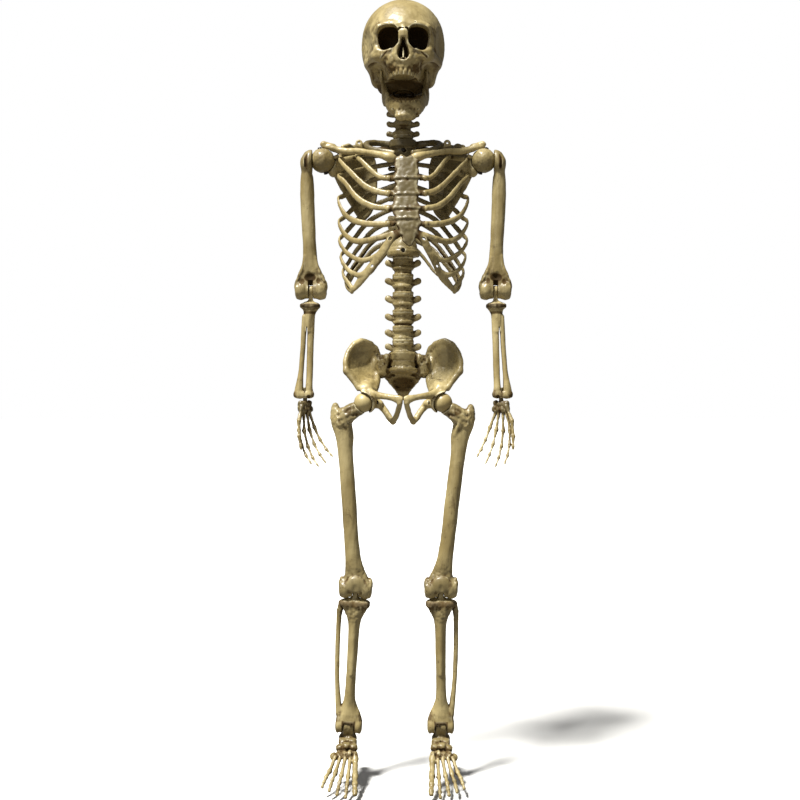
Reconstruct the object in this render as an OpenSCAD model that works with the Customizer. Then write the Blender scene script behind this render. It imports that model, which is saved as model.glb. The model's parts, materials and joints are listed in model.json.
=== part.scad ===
// Hanging, poseable skeleton figure, about 1.5 m from the crown to the toe tips.
// Millimetres. +Z is up, the figure faces -Y and its left side is +X.
// The origin lies midway between the two hanging holes in the collar bones.

/* [Hanging holes] */
// Distance between the two hanging holes
hang_spacing = 168; // [150:1:180]
// Diameter of each hanging hole
hang_hole_d = 4.2; // [3:0.1:6]

/* [Rest pose] */
// How far the jaw hangs open, degrees
jaw_open = 24; // [0:1:28]
// How far the right thigh leans outwards, degrees
thigh_out_right = 3; // [0:1:8]
// How far the left thigh leans outwards, degrees
thigh_out_left = 0; // [0:1:8]
// How far the toes point down below level, degrees
foot_down = 22; // [0:1:40]
// How far the right palm turns in towards the thigh, degrees
hand_turn_right = 50; // [0:5:90]
// How far the left palm turns in towards the thigh, degrees
hand_turn_left = 30; // [0:5:90]

/* [Head] */
// Width and height of the brain case
cranium_d = 157; // [140:1:165]
// Length of the brain case from front to back
cranium_l = 184; // [170:1:195]
// Wall of the moulded skull shells
shell_wall = 3; // [2:0.5:4]

/* [Joint balls] */
// Diameter of the shoulder balls
shoulder_ball_d = 46; // [42:1:50]
// Diameter of the hip balls
hip_ball_d = 37; // [34:1:40]
// Diameter of the neck's top ball
neck_ball_d = 26; // [24:1:28]

/* [Limb bones] */
// Half-width of the upper arm's shaft
humerus_r = 12; // [10:0.5:14]
// Half-width of the thigh's shaft
femur_r = 12.5; // [11:0.5:15]
// Half-width of the shin's main shaft
tibia_r = 10; // [8:0.5:12]
// Diameter of the elbow, knee and ankle pins
pin_d = 6; // [5:0.5:7]

/* [Clearances] */
// Radial gap of a pin in its hole
run_gap = 0.08; // [0.05:0.01:0.1]
// Gap between parts that turn past each other
face_gap = 0.6; // [0.3:0.1:1]

/* [Hidden] */
$fn = 32;
bone_tone = [0.72, 0.66, 0.48];
steel_tone = [0.12, 0.11, 0.1];
tiny = 0.01;

// Joint centres. Those of paired joints are for the left side, at +X.
neck_base = [0, 30, 12];
head_centre = [0, 30, 112];
jaw_pivot = [0, 0, 150];
shoulder = [154, 15, -30];
shoulder_tilt = 15;
elbow = [177, 15, -279];
wrist = [187, 5, -481];
waist = [0, 35, -212];
hip = [75, -5, -494];
knee = [72, -5, -848];
ankle = [72, 5, -1111];
cranium_centre = [0, 12, 190];
seam_y = 14;

LEFT = 1;
RIGHT = -1;

// ---------- shared shapes ----------

function unit(v) = v / norm(v);
function xyz(p) = [p[0], p[1], p[2]];

// Point at t between b and c on the smooth curve through a, b, c and d
function through(a, b, c, d, t) =
    0.5 * (2 * b + (c - a) * t + (2 * a - 5 * b + 4 * c - d) * t * t
    + (3 * b - a - 3 * c + d) * t * t * t);

// Smooth curve through the stations c, with n steps from each to the next
function smooth(c, n) = [
    for (i = [0 : len(c) - 2], k = [0 : n - 1])
        through(c[max(i - 1, 0)], c[i], c[i + 1], c[min(i + 2, len(c) - 1)], k / n),
    c[len(c) - 1]
];

// Closed tube through stations [x, y, z, half-width, half-depth].
// The half-width lies square to ref, and the half-depth square to both.
module bone(stations, ref = [0, 0, 1], sides = 8, n = 3) {
    s = smooth(stations, n);
    last = len(s) - 1;
    points = [
        for (i = [0 : last])
            let (
                t = unit(xyz(s[min(i + 1, last)]) - xyz(s[max(i - 1, 0)])),
                u = unit(cross(t, ref)),
                v = cross(u, t)
            )
            for (k = [0 : sides - 1])
                xyz(s[i]) + u * s[i][3] * cos(360 * k / sides) + v * s[i][4] * sin(360 * k / sides)
    ];
    walls = [
        for (i = [0 : last - 1], k = [0 : sides - 1])
            let (a = i * sides + k, b = i * sides + (k + 1) % sides)
            each [[a, b, b + sides], [a, b + sides, a + sides]]
    ];
    caps = [
        [for (k = [sides - 1 : -1 : 0]) k],
        [for (k = [0 : sides - 1]) last * sides + k]
    ];
    polyhedron(points, concat(walls, caps));
}

// Ball, with fewer facets where it only rounds a hull
module ball(centre, r, facets = $fn) {
    translate(centre) sphere(r, $fn = facets);
}

// Cylinder along X from x0 to x1, about the axis through centre
module along_x(centre, r, x0, x1) {
    translate([x0, centre[1], centre[2]]) rotate([0, 90, 0]) cylinder(r = r, h = x1 - x0);
}

// Cylinder along Y from y0 to y1, about the axis through centre
module along_y(centre, r, y0, y1) {
    translate([centre[0], y0, centre[2]]) rotate([-90, 0, 0]) cylinder(r = r, h = y1 - y0);
}

// Round-headed screw that points along -Z, with its head's underside at the origin
module screw(r, length, head_r) {
    translate([0, 0, -length]) cylinder(r = r, h = length + tiny);
    cylinder(r1 = head_r, r2 = head_r * 0.7, h = head_r * 0.6);
}

// Draws a left part as it stands, or its mirror image for the right side
module on_side(side) {
    if (side == LEFT) children();
    else mirror([1, 0, 0]) children();
}

// Leans the leg outwards about the hip
module lean(side) {
    out = side == LEFT ? thigh_out_left : thigh_out_right;
    on_side(side) translate(hip) rotate([0, -out, 0]) translate(-hip) children();
}

// ---------- head ----------

// Half-ellipse turned about Y, grown by grow on every side
module cranium_solid(grow) {
    r = cranium_d / 2 + grow;
    half_l = cranium_l / 2 + grow;
    steps = 20;
    translate(cranium_centre) rotate([90, 0, 0]) rotate_extrude()
        polygon([for (i = [0 : steps]) let (a = -90 + 180 * i / steps) [r * cos(a), half_l * sin(a)]]);
}

// Hollow brain case with a flat floor
module cranium_shell() {
    floor_z = 128;
    difference() {
        cranium_solid(0);
        intersection() {
            cranium_solid(-shell_wall);
            translate([-150, -150, floor_z + shell_wall]) cube(300);
        }
        translate([-150, -150, floor_z - 300]) cube(300);
    }
}

// Everything ahead of the seam between the two skull shells
module ahead_of_seam(gap) {
    translate([-150, seam_y - gap - 300, 0]) cube(300);
}

// Room for the jaw's upright branches to swing beside the skull's floor
module jaw_relief() {
    for (x = [40, -57]) translate([x, -16, 100]) cube([17, 42, 60]);
}

// Cheeks, nose bridge and upper jaw in one closed form
module upper_face() {
    hull() {
        translate([-56, -62, 150]) cube([112, 45, 14]);
        translate([-34, -76, 196]) cube([68, 40, 8]);
    }
    hull() {
        translate([-40, -74, 150]) cube([80, 50, 6]);
        translate([0, -58, 106]) cylinder(r = 30, h = 10);
    }
    ear_side();
    mirror([1, 0, 0]) ear_side();
}

// Cheek arch that runs back to the jaw's pivot
module ear_side() {
    hull() {
        translate([50, -58, 146]) cube([11, 20, 14]);
        translate([58, -6, 144]) cube([8, 14, 13]);
    }
    hull() {
        translate([58, -6, 144]) cube([8, 14, 13]);
        translate([60, 2, 166]) cube([10, 8, 10]);
    }
}

module skull_face() {
    eye = [30, -84, 178];
    color(bone_tone) difference() {
        union() {
            intersection() {
                cranium_shell();
                ahead_of_seam(0);
            }
            upper_face();
        }
        for (side = [LEFT, RIGHT])
            translate([side * eye[0], eye[1], eye[2]]) sphere(20);
        hull() {
            along_y([0, 0, 168], 4, -110, -62);
            along_y([7, 0, 142], 6, -110, -62);
            along_y([-7, 0, 142], 6, -110, -62);
        }
        jaw_relief();
        along_x(jaw_pivot, pin_d / 2, -70, 70);
        translate([-25, -60, 60]) cube([50, 45, 54]);
    }
}

module skull_back() {
    color(bone_tone) difference() {
        cranium_shell();
        ahead_of_seam(-face_gap / 2);
        jaw_relief();
        translate([head_centre[0], head_centre[1], 0]) cylinder(r = neck_ball_d / 2 + 5, h = 140);
    }
}

// Cup under the skull that holds the neck's ball
module neck_socket() {
    cup_r = neck_ball_d / 2 + 4;
    lip = 6;
    color(bone_tone) difference() {
        union() {
            ball(head_centre, cup_r);
            translate([head_centre[0], head_centre[1], 131]) cylinder(r = 24, h = 5);
            translate(head_centre) cylinder(r = cup_r - 3, h = 20);
        }
        ball(head_centre, neck_ball_d / 2 + run_gap);
        translate([-50, -50, head_centre[2] - lip - 100]) cube(100);
    }
}

// U-shaped lower jaw with two upright branches, drawn closed
module jaw_closed() {
    body_z = 64;
    translate([0, 0, body_z]) linear_extrude(30) difference() {
        hull() {
            translate([0, -54]) circle(30);
            translate([-47, -14]) square([94, 8]);
        }
        hull() {
            translate([0, -52]) circle(19);
            translate([-38, -14]) square([76, 9]);
        }
    }
    for (side = [LEFT, RIGHT]) hull() {
        translate([side * 43.5 - 4, -20, 70]) cube([8, 26, 20]);
        translate([side * 50 - 4, -8, 138]) cube([8, 16, 18]);
    }
}

module jaw() {
    color(bone_tone) difference() {
        translate(jaw_pivot) rotate([jaw_open, 0, 0]) translate(-jaw_pivot) jaw_closed();
        along_x(jaw_pivot, pin_d / 2 + run_gap, -60, 60);
    }
}

module jaw_pins() {
    color(steel_tone) for (side = [LEFT, RIGHT]) on_side(side) {
        along_x(jaw_pivot, pin_d / 2, 42, 69);
    }
}

// ---------- neck ----------

peg_r = 12;
groove_r = 9;
neck_peg_h = 34;
waist_peg_h = 22;
neck_screw_down = 23;
waist_screw_up = 10;

// Turned peg of height h with a groove round it at height g; its foot is at the origin
module turning_peg(h, g) {
    rotate_extrude() polygon([
        [0, -tiny], [peg_r, -tiny], [peg_r, g - 3], [groove_r, g - 3], [groove_r, g + 3], [peg_r, g + 3],
        [peg_r, h], [0, h]
    ]);
}

module neck_spine() {
    levels = [24, 43, 62, 80];
    column_r = 15;
    stem_r = 7;
    color(bone_tone) union() {
        translate([neck_base[0], neck_base[1], neck_base[2] + face_gap]) {
            mirror([0, 0, 1]) turning_peg(neck_peg_h, neck_screw_down);
            cylinder(r1 = 19, r2 = 16, h = 4);
            cylinder(r = column_r, h = 80);
        }
        translate([neck_base[0], neck_base[1], 90]) cylinder(r = stem_r, h = 16);
        ball(head_centre, neck_ball_d / 2);
        for (z = levels) translate([0, neck_base[1], z]) vertebra_arms(27, 4.5, 14);
    }
}

// Side arms and rear spike of one vertebra, about the spine's axis
module vertebra_arms(reach, r, spike) {
    along_x([0, 0, 0], r, -reach, reach);
    translate([-3, 0, -r]) cube([6, spike + 14, 2 * r]);
}

// Screw from the front whose tip rides in a peg's groove; its head sits outer_r from the peg's axis
module retaining_screw(place, z, outer_r) {
    translate([place[0], place[1] - outer_r, z]) rotate([90, 0, 0]) screw(2, outer_r - groove_r - face_gap, 3.6);
}

// Hole for that screw, with a flat recess for its head
module screw_hole(place, z, outer_r) {
    along_y([place[0], 0, z], 2, place[1] - outer_r - 20, place[1]);
    along_y([place[0], 0, z], 4.2, place[1] - outer_r - 20, place[1] - outer_r);
}

neck_screw_z = neck_base[2] + face_gap - neck_screw_down;
waist_screw_z = waist[2] - face_gap + waist_screw_up;
neck_bell_r = 21;
waist_bell_r = 27.5;

module neck_screw() {
    color(steel_tone) retaining_screw(neck_base, neck_screw_z, neck_bell_r);
}

module waist_screw() {
    color(steel_tone) retaining_screw(waist, waist_screw_z, waist_bell_r);
}

// ---------- rib cage ----------

rib_count = 10;
thorax = [[0, 30, -20, 13, 13], [0, 48, -60, 13, 12], [0, 55, -110, 14, 13], [0, 44, -160, 15, 14],
    [0, 36, -190, 16, 15]];

// Heights of each rib at the spine and at the side, and its half-width there
function rib_back_z(k) = -8 - 18 * k;
function rib_side_z(k) = k == 0 ? -14 : k == 9 ? -232 : -4 - 30 * k;
function rib_side_x(k) = k == 9 ? 74 : 120 - 0.75 * pow(max(6 - k, k - 6), 2) * (k < 3 ? 1.6 : 1);
function spine_y(z) = 30 + 26 * sin(180 * min(max((-z - 10) / 190, 0), 1));

// Where each rib ends at the front: on the breastbone first, then on the gristle bar
rib_front = [[10, -46, -48], [8, -59, -76], [9, -67, -105], [9, -73, -134], [9, -77, -165],
    [12, -78, -182], [34, -75, -207], [63, -61, -246], [88, -42, -272]];
// The lowest point of each rib on its way to the front end
rib_dip = [[46, -26, -30], [60, -44, -62], [84, -40, -84], [82, -50, -120], [62, -66, -161],
    [76, -58, -196], [80, -54, -226], [92, -42, -254], [104, -24, -271]];

rib_w = 2.6;
rib_h = 5.2;

// Where rib k crosses from the rear shell to the front one
function rib_side(k) = [rib_side_x(k), 0, rib_side_z(k)];

// Rear half of rib k, from the spine to the side. The last rib is short and ends free.
module rear_rib(k) {
    zb = rib_back_z(k);
    side = rib_side(k);
    y = spine_y(zb);
    bone([
        [8, y + 6, zb, rib_w, rib_h],
        [30, y + 15, zb - 4, rib_w, rib_h],
        [side[0] * 0.62, y + 6, zb * 0.62 + side[2] * 0.38, rib_w, rib_h],
        [side[0] * 0.92, y * 0.55 + 4, zb * 0.25 + side[2] * 0.75, rib_w, rib_h],
        [side[0], 4, side[2] + 3, rib_w, rib_h],
        [side[0], 0, side[2], rib_w, rib_h]
    ], n = 2);
}

// Front half of rib k, from the side to the breastbone or gristle bar
module front_rib(k) {
    side = rib_side(k);
    dip = rib_dip[k];
    tip = rib_front[k];
    bone([
        [side[0], 0, side[2], rib_w, rib_h],
        [side[0], -4, side[2] - 3, rib_w, rib_h],
        [side[0] * 0.4 + dip[0] * 0.6, dip[1] * 0.55, side[2] * 0.45 + dip[2] * 0.55, rib_w, rib_h],
        [dip[0], dip[1], dip[2], rib_w + 0.4, rib_h + 0.6],
        [tip[0], tip[1], tip[2], rib_w + 1, rib_h + 0.6]
    ], sides = 6, n = 3);
}

module ribcage_front() {
    color(bone_tone) {
        bone([
            [0, -42, -40, 24, 6], [0, -52, -56, 19, 6], [0, -60, -76, 14, 5.5], [0, -68, -105, 16, 5.5],
            [0, -76, -140, 17, 5.5], [0, -79, -165, 18, 5.5], [0, -79, -182, 13, 5], [0, -77, -205, 3, 3]
        ], ref = [0, 1, 0], sides = 6, n = 2);
        for (side = [LEFT, RIGHT]) on_side(side) {
            for (k = [0 : rib_count - 2]) front_rib(k);
            bone([
                [16, -77, -184, 5, 4], [36, -74, -207, 6, 4], [64, -60, -246, 6, 4],
                [84, -46, -270, 6, 4], [101, -28, -281, 4, 4]
            ], ref = [0, 1, 0], sides = 6, n = 2);
        }
    }
}

module ribcage_back() {
    difference() {
        color(bone_tone) {
            translate([neck_base[0], neck_base[1], -3]) cylinder(r = 26, h = neck_base[2] + 3);
            translate([neck_base[0], neck_base[1], -40]) cylinder(r1 = 15, r2 = 23, h = 37 + tiny);
            bone(thorax, ref = [0, 1, 0], sides = 10, n = 2);
            translate(waist) cylinder(r = 31, h = 6 + tiny);
            translate([waist[0], waist[1], waist[2] + 6]) cylinder(r1 = 31, r2 = 16, h = 28);
            for (k = [1 : 8]) translate([-3, spine_y(rib_back_z(k)) + 6, rib_back_z(k) - 12]) cube([6, 22, 9]);
            for (side = [LEFT, RIGHT]) on_side(side)
                for (k = [0 : rib_count - 1]) rear_rib(k);
        }
        translate([neck_base[0], neck_base[1], neck_base[2] - neck_peg_h - 1]) cylinder(r = peg_r + run_gap, h = 60);
        translate([waist[0], waist[1], waist[2] - 40])
            cylinder(r = peg_r + run_gap, h = 40 + waist_peg_h + 1);
        screw_hole(neck_base, neck_screw_z, neck_bell_r);
        screw_hole(waist, waist_screw_z, waist_bell_r);
    }
}

// ---------- shoulders ----------

// Moves a shape drawn about the bolt's axis, with -X towards the spine, onto the shoulder
module at_shoulder() {
    translate(shoulder) rotate([0, shoulder_tilt, 0]) children();
}

tongue_t = 6;
tongue_r = 14;
bolt_r = 2.5;

// Collar bone, hanging tab, shoulder blade and the tongue that carries the ball
module shoulder_blade(side) {
    tab_x = hang_spacing / 2;
    color(bone_tone) on_side(side) difference() {
        union() {
            bone([
                [25, -44, -36, 9, 8], [40, -33, -31, 6.5, 6], [tab_x, -4, -18, 6, 6],
                [115, 6, -10, 6.5, 6], [146, 14, 0, 8, 5]
            ]);
            hull() {
                along_y([tab_x, 0, 0], 7, -3, 3);
                translate([tab_x - 7, -3, -18]) cube([14, 6, 6]);
            }
            hull() {
                ball([146, 16, 0], 5, 16);
                ball([110, 58, -16], 3.5, 16);
                ball([64, 84, -20], 2.5, 16);
            }
            hull() {
                ball([118, 44, -30], 6, 16);
                ball([56, 84, -22], 2.5, 16);
                ball([56, 86, -92], 2.5, 16);
                ball([82, 82, -130], 3, 16);
            }
            hull() {
                ball([118, 44, -30], 6, 16);
                ball([126, 22, -34], 9, 16);
            }
            at_shoulder() {
                cylinder(r = tongue_r, h = tongue_t, center = true);
                translate([-28, -6, -tongue_t / 2]) cube([28, 12, tongue_t]);
            }
        }
        along_y([tab_x, 0, 0], hang_hole_d / 2, -50, 50);
        at_shoulder() cylinder(r = bolt_r + run_gap, h = 100, center = true);
        difference() {
            ball(shoulder, shoulder_ball_d / 2 + face_gap);
            at_shoulder() cube([80, 80, tongue_t], center = true);
        }
    }
}

// Slotted ball that turns about the bolt
module shoulder_ball(side) {
    flat = shoulder_ball_d / 2 - 3;
    color(bone_tone) on_side(side) difference() {
        translate(shoulder) rotate([0, shoulder_tilt, 20]) sphere(shoulder_ball_d / 2);
        translate([shoulder[0] + flat, -50, -100]) cube([50, 150, 150]);
        at_shoulder() {
            cylinder(r = tongue_r + face_gap, h = tongue_t + face_gap, center = true);
            linear_extrude(tongue_t + face_gap, center = true)
                polygon([[-2, 13], [-2, -13], [-24, -31], [-40, -31], [-40, 31], [-24, 31]]);
            cylinder(r = bolt_r + run_gap, h = 100, center = true);
        }
        along_x(shoulder, 5, shoulder[0] + tongue_r + 1.5, shoulder[0] + 40);
    }
}

module shoulder_bolt(side) {
    reach = shoulder_ball_d / 2;
    color(steel_tone) on_side(side) at_shoulder() {
        translate([0, 0, -reach - 4]) cylinder(r = bolt_r, h = 2 * reach + 5);
        translate([0, 0, reach + tiny]) cylinder(r1 = 4.5, r2 = 3.2, h = 3);
        translate([0, 0, -reach - 3.5]) cylinder(r = 4.5, h = 3.4, $fn = 6);
    }
}

// Stub that the upper arm swings on
module shoulder_axle(side) {
    color(steel_tone) on_side(side)
        along_x(shoulder, 5, shoulder[0] + tongue_r + 1.5, shoulder[0] + 37);
}

// ---------- arms ----------

condyle_r = 18;
link_t = 7.6;

// Slot and pin hole of a hinge whose axis runs along X
module hinge_cuts(centre, slot_w, slot_r) {
    along_x(centre, slot_r, centre[0] - slot_w / 2, centre[0] + slot_w / 2);
    along_x(centre, pin_d / 2, centre[0] - 60, centre[0] + 60);
}

module humerus(side) {
    head_x = shoulder[0] + shoulder_ball_d / 2 - 3 + face_gap;
    color(bone_tone) on_side(side) difference() {
        union() {
            difference() {
                ball([head_x + 5, shoulder[1], shoulder[2]], 19.5);
                translate([head_x - 60, -50, -100]) cube([60, 150, 150]);
            }
            bone([
                [head_x + 8, 15, -36, 7.5, 12], [head_x + 7, 15, -60, 7, 12],
                [179, 15, -110, humerus_r, humerus_r], [178, 15, -200, humerus_r - 1, humerus_r - 1],
                [177, 15, -240, humerus_r + 2, humerus_r - 1], [177, 15, -266, 26, 12]
            ], ref = [0, 1, 0], sides = 12);
            along_x(elbow, condyle_r, elbow[0] - 30, elbow[0] + 30);
        }
        hinge_cuts(elbow, link_t + 2 * face_gap, condyle_r + 2);
        along_x(shoulder, 5 + run_gap, shoulder[0], shoulder[0] + 38);
    }
}

module elbow_pin(side) {
    color(steel_tone) on_side(side) hinge_pin(elbow, 58);
}

module hinge_pin(centre, length) {
    along_x(centre, pin_d / 2, centre[0] - length / 2, centre[0] + length / 2);
}

// Round eye and stem of a hinge, with its hole
module hinge_link(centre, eye_r, thick, foot_z, depth) {
    difference() {
        union() {
            along_x(centre, eye_r, centre[0] - thick / 2, centre[0] + thick / 2);
            translate([centre[0] - thick / 2, centre[1] - depth / 2, foot_z]) cube([thick, depth, centre[2] - foot_z]);
        }
        along_x(centre, pin_d / 2 + run_gap, centre[0] - 30, centre[0] + 30);
    }
}

module forearm(side) {
    peg_hole = 19;
    color(bone_tone) on_side(side) {
        hinge_link(elbow, 9, link_t, -306, 11);
        difference() {
            union() {
                bone([[178, 15, -304, 19, 14], [178, 15, -312, 15, 12], [179, 15, -325, 11, 11],
                    [181, 14, -350, 10, 9]], ref = [0, 1, 0], sides = 10, n = 2);
                bone([[181, 14, -345, 6, 7], [188, 12, -390, 6, 6], [195, 8, -440, 7, 6], [195, 5, -474, 10, 9]],
                    ref = [0, 1, 0], sides = 8, n = 2);
                bone([[178, 14, -345, 6, 7], [174, 12, -390, 6, 6], [175, 8, -440, 6, 6], [176, 5, -474, 7, 8]],
                    ref = [0, 1, 0], sides = 8, n = 2);
                translate([wrist[0], wrist[1], wrist[2]]) cylinder(r = 9, h = 22);
                bone([[187, 5, -467, 17, 9], [187, 5, -481, 19, 9]], ref = [0, 1, 0], sides = 10, n = 1);
            }
            translate([wrist[0], wrist[1], wrist[2] - 10]) cylinder(r = 4 + run_gap, h = 10 + peg_hole);
        }
    }
}

// Finger joints in the hand's own frame: palm towards -Y, fingertips down, thumb towards +X.
finger_root = [[-17, 1, -30], [-6, 0, -32], [6, 0, -32], [17, 1, -30]];
finger_spread = [-9, -3, 3, 9];
finger_length = [78, 92, 98, 88];
curl_start = 12;
curl_end = 58;

// A finger's tube, from the palm to a curled tip
module finger(root, spread, length, r) {
    steps = 6;
    seg = length / steps;
    stations = [
        for (i = [0 : steps])
            let (down = seg * i, curl = curl_start + (curl_end - curl_start) * i / steps)
            [root[0] + down * sin(spread), root[1] - down * sin(curl / 2) * 0.9,
                root[2] - down * cos(curl / 2), r * (1 - 0.35 * i / steps), r * (1 - 0.35 * i / steps)]
    ];
    bone(stations, ref = [0, 1, 0], sides = 6, n = 1);
}

module hand(side) {
    turn = side == LEFT ? hand_turn_left : hand_turn_right;
    color(bone_tone) on_side(side) translate(wrist) rotate([0, 0, -turn]) {
        translate([0, 0, -14]) cylinder(r = 4, h = 14 + 18);
        hull() {
            translate([-13, -5, -18]) cube([26, 10, 6]);
            translate([-20, -5, -46]) cube([40, 10, 4]);
        }
        for (i = [0 : 3]) finger(finger_root[i], finger_spread[i], finger_length[i], 4.4);
        bone([[12, -2, -18, 5, 5], [26, -8, -44, 4.5, 4.5], [32, -14, -72, 4.5, 4.5], [34, -20, -100, 3.2, 3.2]],
            ref = [0, 1, 0], sides = 6, n = 2);
    }
}

// ---------- waist and pelvis ----------

module lumbar_spine() {
    count = 5;
    pitch = 35;
    top = waist[2] - face_gap;
    rise = top + 395;
    color(bone_tone) union() {
        translate([waist[0], waist[1], top]) turning_peg(waist_peg_h, waist_screw_up);
        translate([waist[0], waist[1], top - rise]) rotate_extrude() polygon([
            [0, 0], [19, 0],
            for (i = [0 : count - 1]) each [
                [21, i * pitch + 3], [18, i * pitch + pitch / 2], [20.5, (i + 1) * pitch - 4], [19, (i + 1) * pitch - 1]
            ],
            [21, rise - 4], [20, rise], [0, rise]
        ]);
        for (i = [0 : count]) translate([0, waist[1] + 2, top - 16 - pitch * i * 0.97]) vertebra_arms(34, 5.5, 22);
    }
}

module sacrum() {
    color(bone_tone) bone([
        [0, 36, -395.3, 22, 16], [0, 40, -412, 30, 17], [0, 46, -430, 44, 14], [0, 54, -452, 28, 10],
        [0, 60, -470, 13, 7], [0, 58, -486, 6, 4]
    ], ref = [0, 1, 0], sides = 12, n = 2);
}

// Wing, socket and the ring of the seat and pubic bones
module hip_bone(side) {
    cup_r = hip_ball_d / 2 + 4;
    color(bone_tone) on_side(side) difference() {
        union() {
            hull() {
                ball([111, 4, -424], 4.5, 16);
                ball([84, 34, -376], 4, 16);
                ball([68, 0, -470], 9, 16);
            }
            hull() {
                ball([84, 34, -376], 4, 16);
                ball([54, 58, -408], 6, 16);
                ball([56, 44, -440], 6, 16);
                ball([68, 0, -470], 9, 16);
            }
            difference() {
                ball(hip, cup_r);
                translate([hip[0] - 7, -60, -560]) cube(120);
            }
            bone([[66, 0, -470, 9, 9], [46, -26, -478, 6, 6], [24, -42, -484, 5, 6], [4, -47, -492, 3.5, 9]]);
            bone([[58, 12, -488, 9, 9], [42, 10, -508, 6, 6], [26, -2, -530, 6, 5], [17, -14, -533, 5, 5],
                [10, -34, -515, 4, 4], [5, -46, -494, 4, 4]], ref = [0, 1, 0]);
        }
        ball(hip, hip_ball_d / 2 + face_gap);
        translate([-60, -100, -600]) cube([60.2, 200, 300]);
        along_x(hip, 4, 0, hip[0] - 13);
    }
}

// ---------- hips ----------

hip_tongue_t = 8;
hip_tongue_r = 9;

// Axle that the hip ball spins on, fixed in the hip bone
module hip_axle(side) {
    color(steel_tone) on_side(side) along_x(hip, 4, hip[0] - hip_ball_d / 2 - 9, hip[0] - 11);
}

// Smooth ball, slotted on its outer side for the thigh's tongue
module hip_ball(side) {
    slot = hip_tongue_t + face_gap;
    color(bone_tone) on_side(side) translate(hip) difference() {
        sphere(hip_ball_d / 2);
        rotate([90, 0, 0]) {
            cylinder(r = hip_tongue_r + face_gap, h = slot, center = true);
            linear_extrude(slot, center = true)
                polygon([[-8, -5], [12, -40], [40, -40], [40, 22], [0, 9.6]]);
        }
        rotate([90, 0, 0]) cylinder(r = 3, h = 26, center = true);
        rotate([0, -90, 0]) cylinder(r = 4 + run_gap, h = 40);
    }
}

// Cross pin that the thigh leans on, hidden inside the ball
module hip_pin(side) {
    color(steel_tone) on_side(side) translate(hip) rotate([90, 0, 0]) cylinder(r = 3, h = 25, center = true);
}

module femur(side) {
    shaft_top = [104, 0, -540];
    color(bone_tone) lean(side) difference() {
        union() {
            difference() {
                bone([[hip[0] + 8, -5, -500, 13, 11], [hip[0] + 24, -3, -510, 12, 12], [114, 0, -524, 14, 14]],
                    n = 2, sides = 10);
                ball(hip, hip_ball_d / 2 + face_gap);
            }
            bone([[128, 4, -502, 6, 8], [125, 3, -515, 13, 12], [116, 1, -535, 17, 14], [shaft_top[0] + 2, 0, -575, 15, 14],
                [98, -4, -660, femur_r, femur_r], [86, -6, -750, femur_r + 1, femur_r], [80, -5, -800, 17, 12],
                [74, -5, -832, 30, 14]], ref = [0, 1, 0], sides = 12, n = 2);
            along_x(knee, condyle_r, knee[0] - 31, knee[0] + 31);
            translate(hip) rotate([90, 0, 0]) {
                cylinder(r = hip_tongue_r, h = hip_tongue_t, center = true);
                rotate([0, 0, -28]) translate([4, -6, -hip_tongue_t / 2]) cube([20, 12, hip_tongue_t]);
            }
        }
        translate(hip) rotate([90, 0, 0]) cylinder(r = 3 + run_gap, h = 60, center = true);
        hinge_cuts(knee, link_t + 2 + 2 * face_gap, condyle_r + 3);
    }
}

// ---------- legs ----------

module knee_pin(side) {
    color(steel_tone) lean(side) hinge_pin(knee, 60);
}

fork_gap = 24.6;

module shin(side) {
    fork_out = 24;
    color(bone_tone) lean(side) {
        hinge_link(knee, 10, link_t + 2, -874, 14);
        difference() {
            union() {
                bone([[72, -4, -871, 31, 17], [72, -4, -882, 30, 17], [71, -4, -900, 17, 14], [69, -3, -925, 11, 12],
                    [69, 0, -1000, tibia_r, tibia_r], [71, 3, -1066, tibia_r, tibia_r], [72, 5, -1080, 20, 11],
                    [72, 5, -1092, 23.5, 11]], ref = [0, 1, 0], sides = 12, n = 2);
                bone([[95, 4, -880, 7, 7], [97, 6, -895, 5, 5], [96, 6, -980, 4.2, 4.2], [92, 5, -1060, 4.5, 4.5],
                    [88, 5, -1088, 6, 6]], ref = [0, 1, 0], sides = 8, n = 2);
                along_x(ankle, 13, ankle[0] - fork_out, ankle[0] + fork_out);
                translate([ankle[0] - fork_out, ankle[1] - 11, ankle[2]]) cube([2 * fork_out, 22, 22]);
            }
            along_x(ankle, 17, ankle[0] - fork_gap / 2, ankle[0] + fork_gap / 2);
            along_x(ankle, pin_d / 2, 0, 150);
        }
    }
}

module ankle_pin(side) {
    color(steel_tone) lean(side) hinge_pin(ankle, 47);
}

// Foot in its own level frame, ankle pin at the origin, toes towards -Y, big toe towards -X
module foot(side) {
    tab_w = fork_gap - 2 * face_gap - 3;
    color(bone_tone) lean(side) translate(ankle) rotate([foot_down, 0, 0]) difference() {
        union() {
            along_x([0, 0, 0], 12, -tab_w / 2, tab_w / 2);
            translate([-tab_w / 2, -12, -24]) cube([tab_w, 24, 24]);
            hull() {
                translate([-20, -26, -36]) cube([40, 44, 17]);
                translate([-22, -70, -42]) cube([46, 10, 14]);
            }
            hull() {
                ball([0, 34, -34], 11);
                translate([-14, 8, -38]) cube([28, 8, 18]);
            }
            for (i = [0 : 4]) toe(i);
        }
        along_x([0, 0, 0], pin_d / 2 + run_gap, -40, 40);
    }
}

// Toe i, counted from the big toe
module toe(i) {
    x = -19 + i * 10.5;
    fan = -4 + i * 4.5;
    length = 88 - i * 8 - (i == 0 ? 2 : 0);
    r = i == 0 ? 7.5 : 4.6;
    bone([
        [x, -64, -33, r, r], [x + length * 0.45 * sin(fan), -64 - length * 0.4, -40, r * 0.8, r * 0.8],
        [x + length * 0.75 * sin(fan), -64 - length * 0.7, -42, r, r * 0.9],
        [x + length * sin(fan), -64 - length * 0.95, -46, r * 0.6, r * 0.6]
    ], ref = [0, 0, 1], sides = 6, n = 1);
}

// ---------- the assembly ----------

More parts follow.
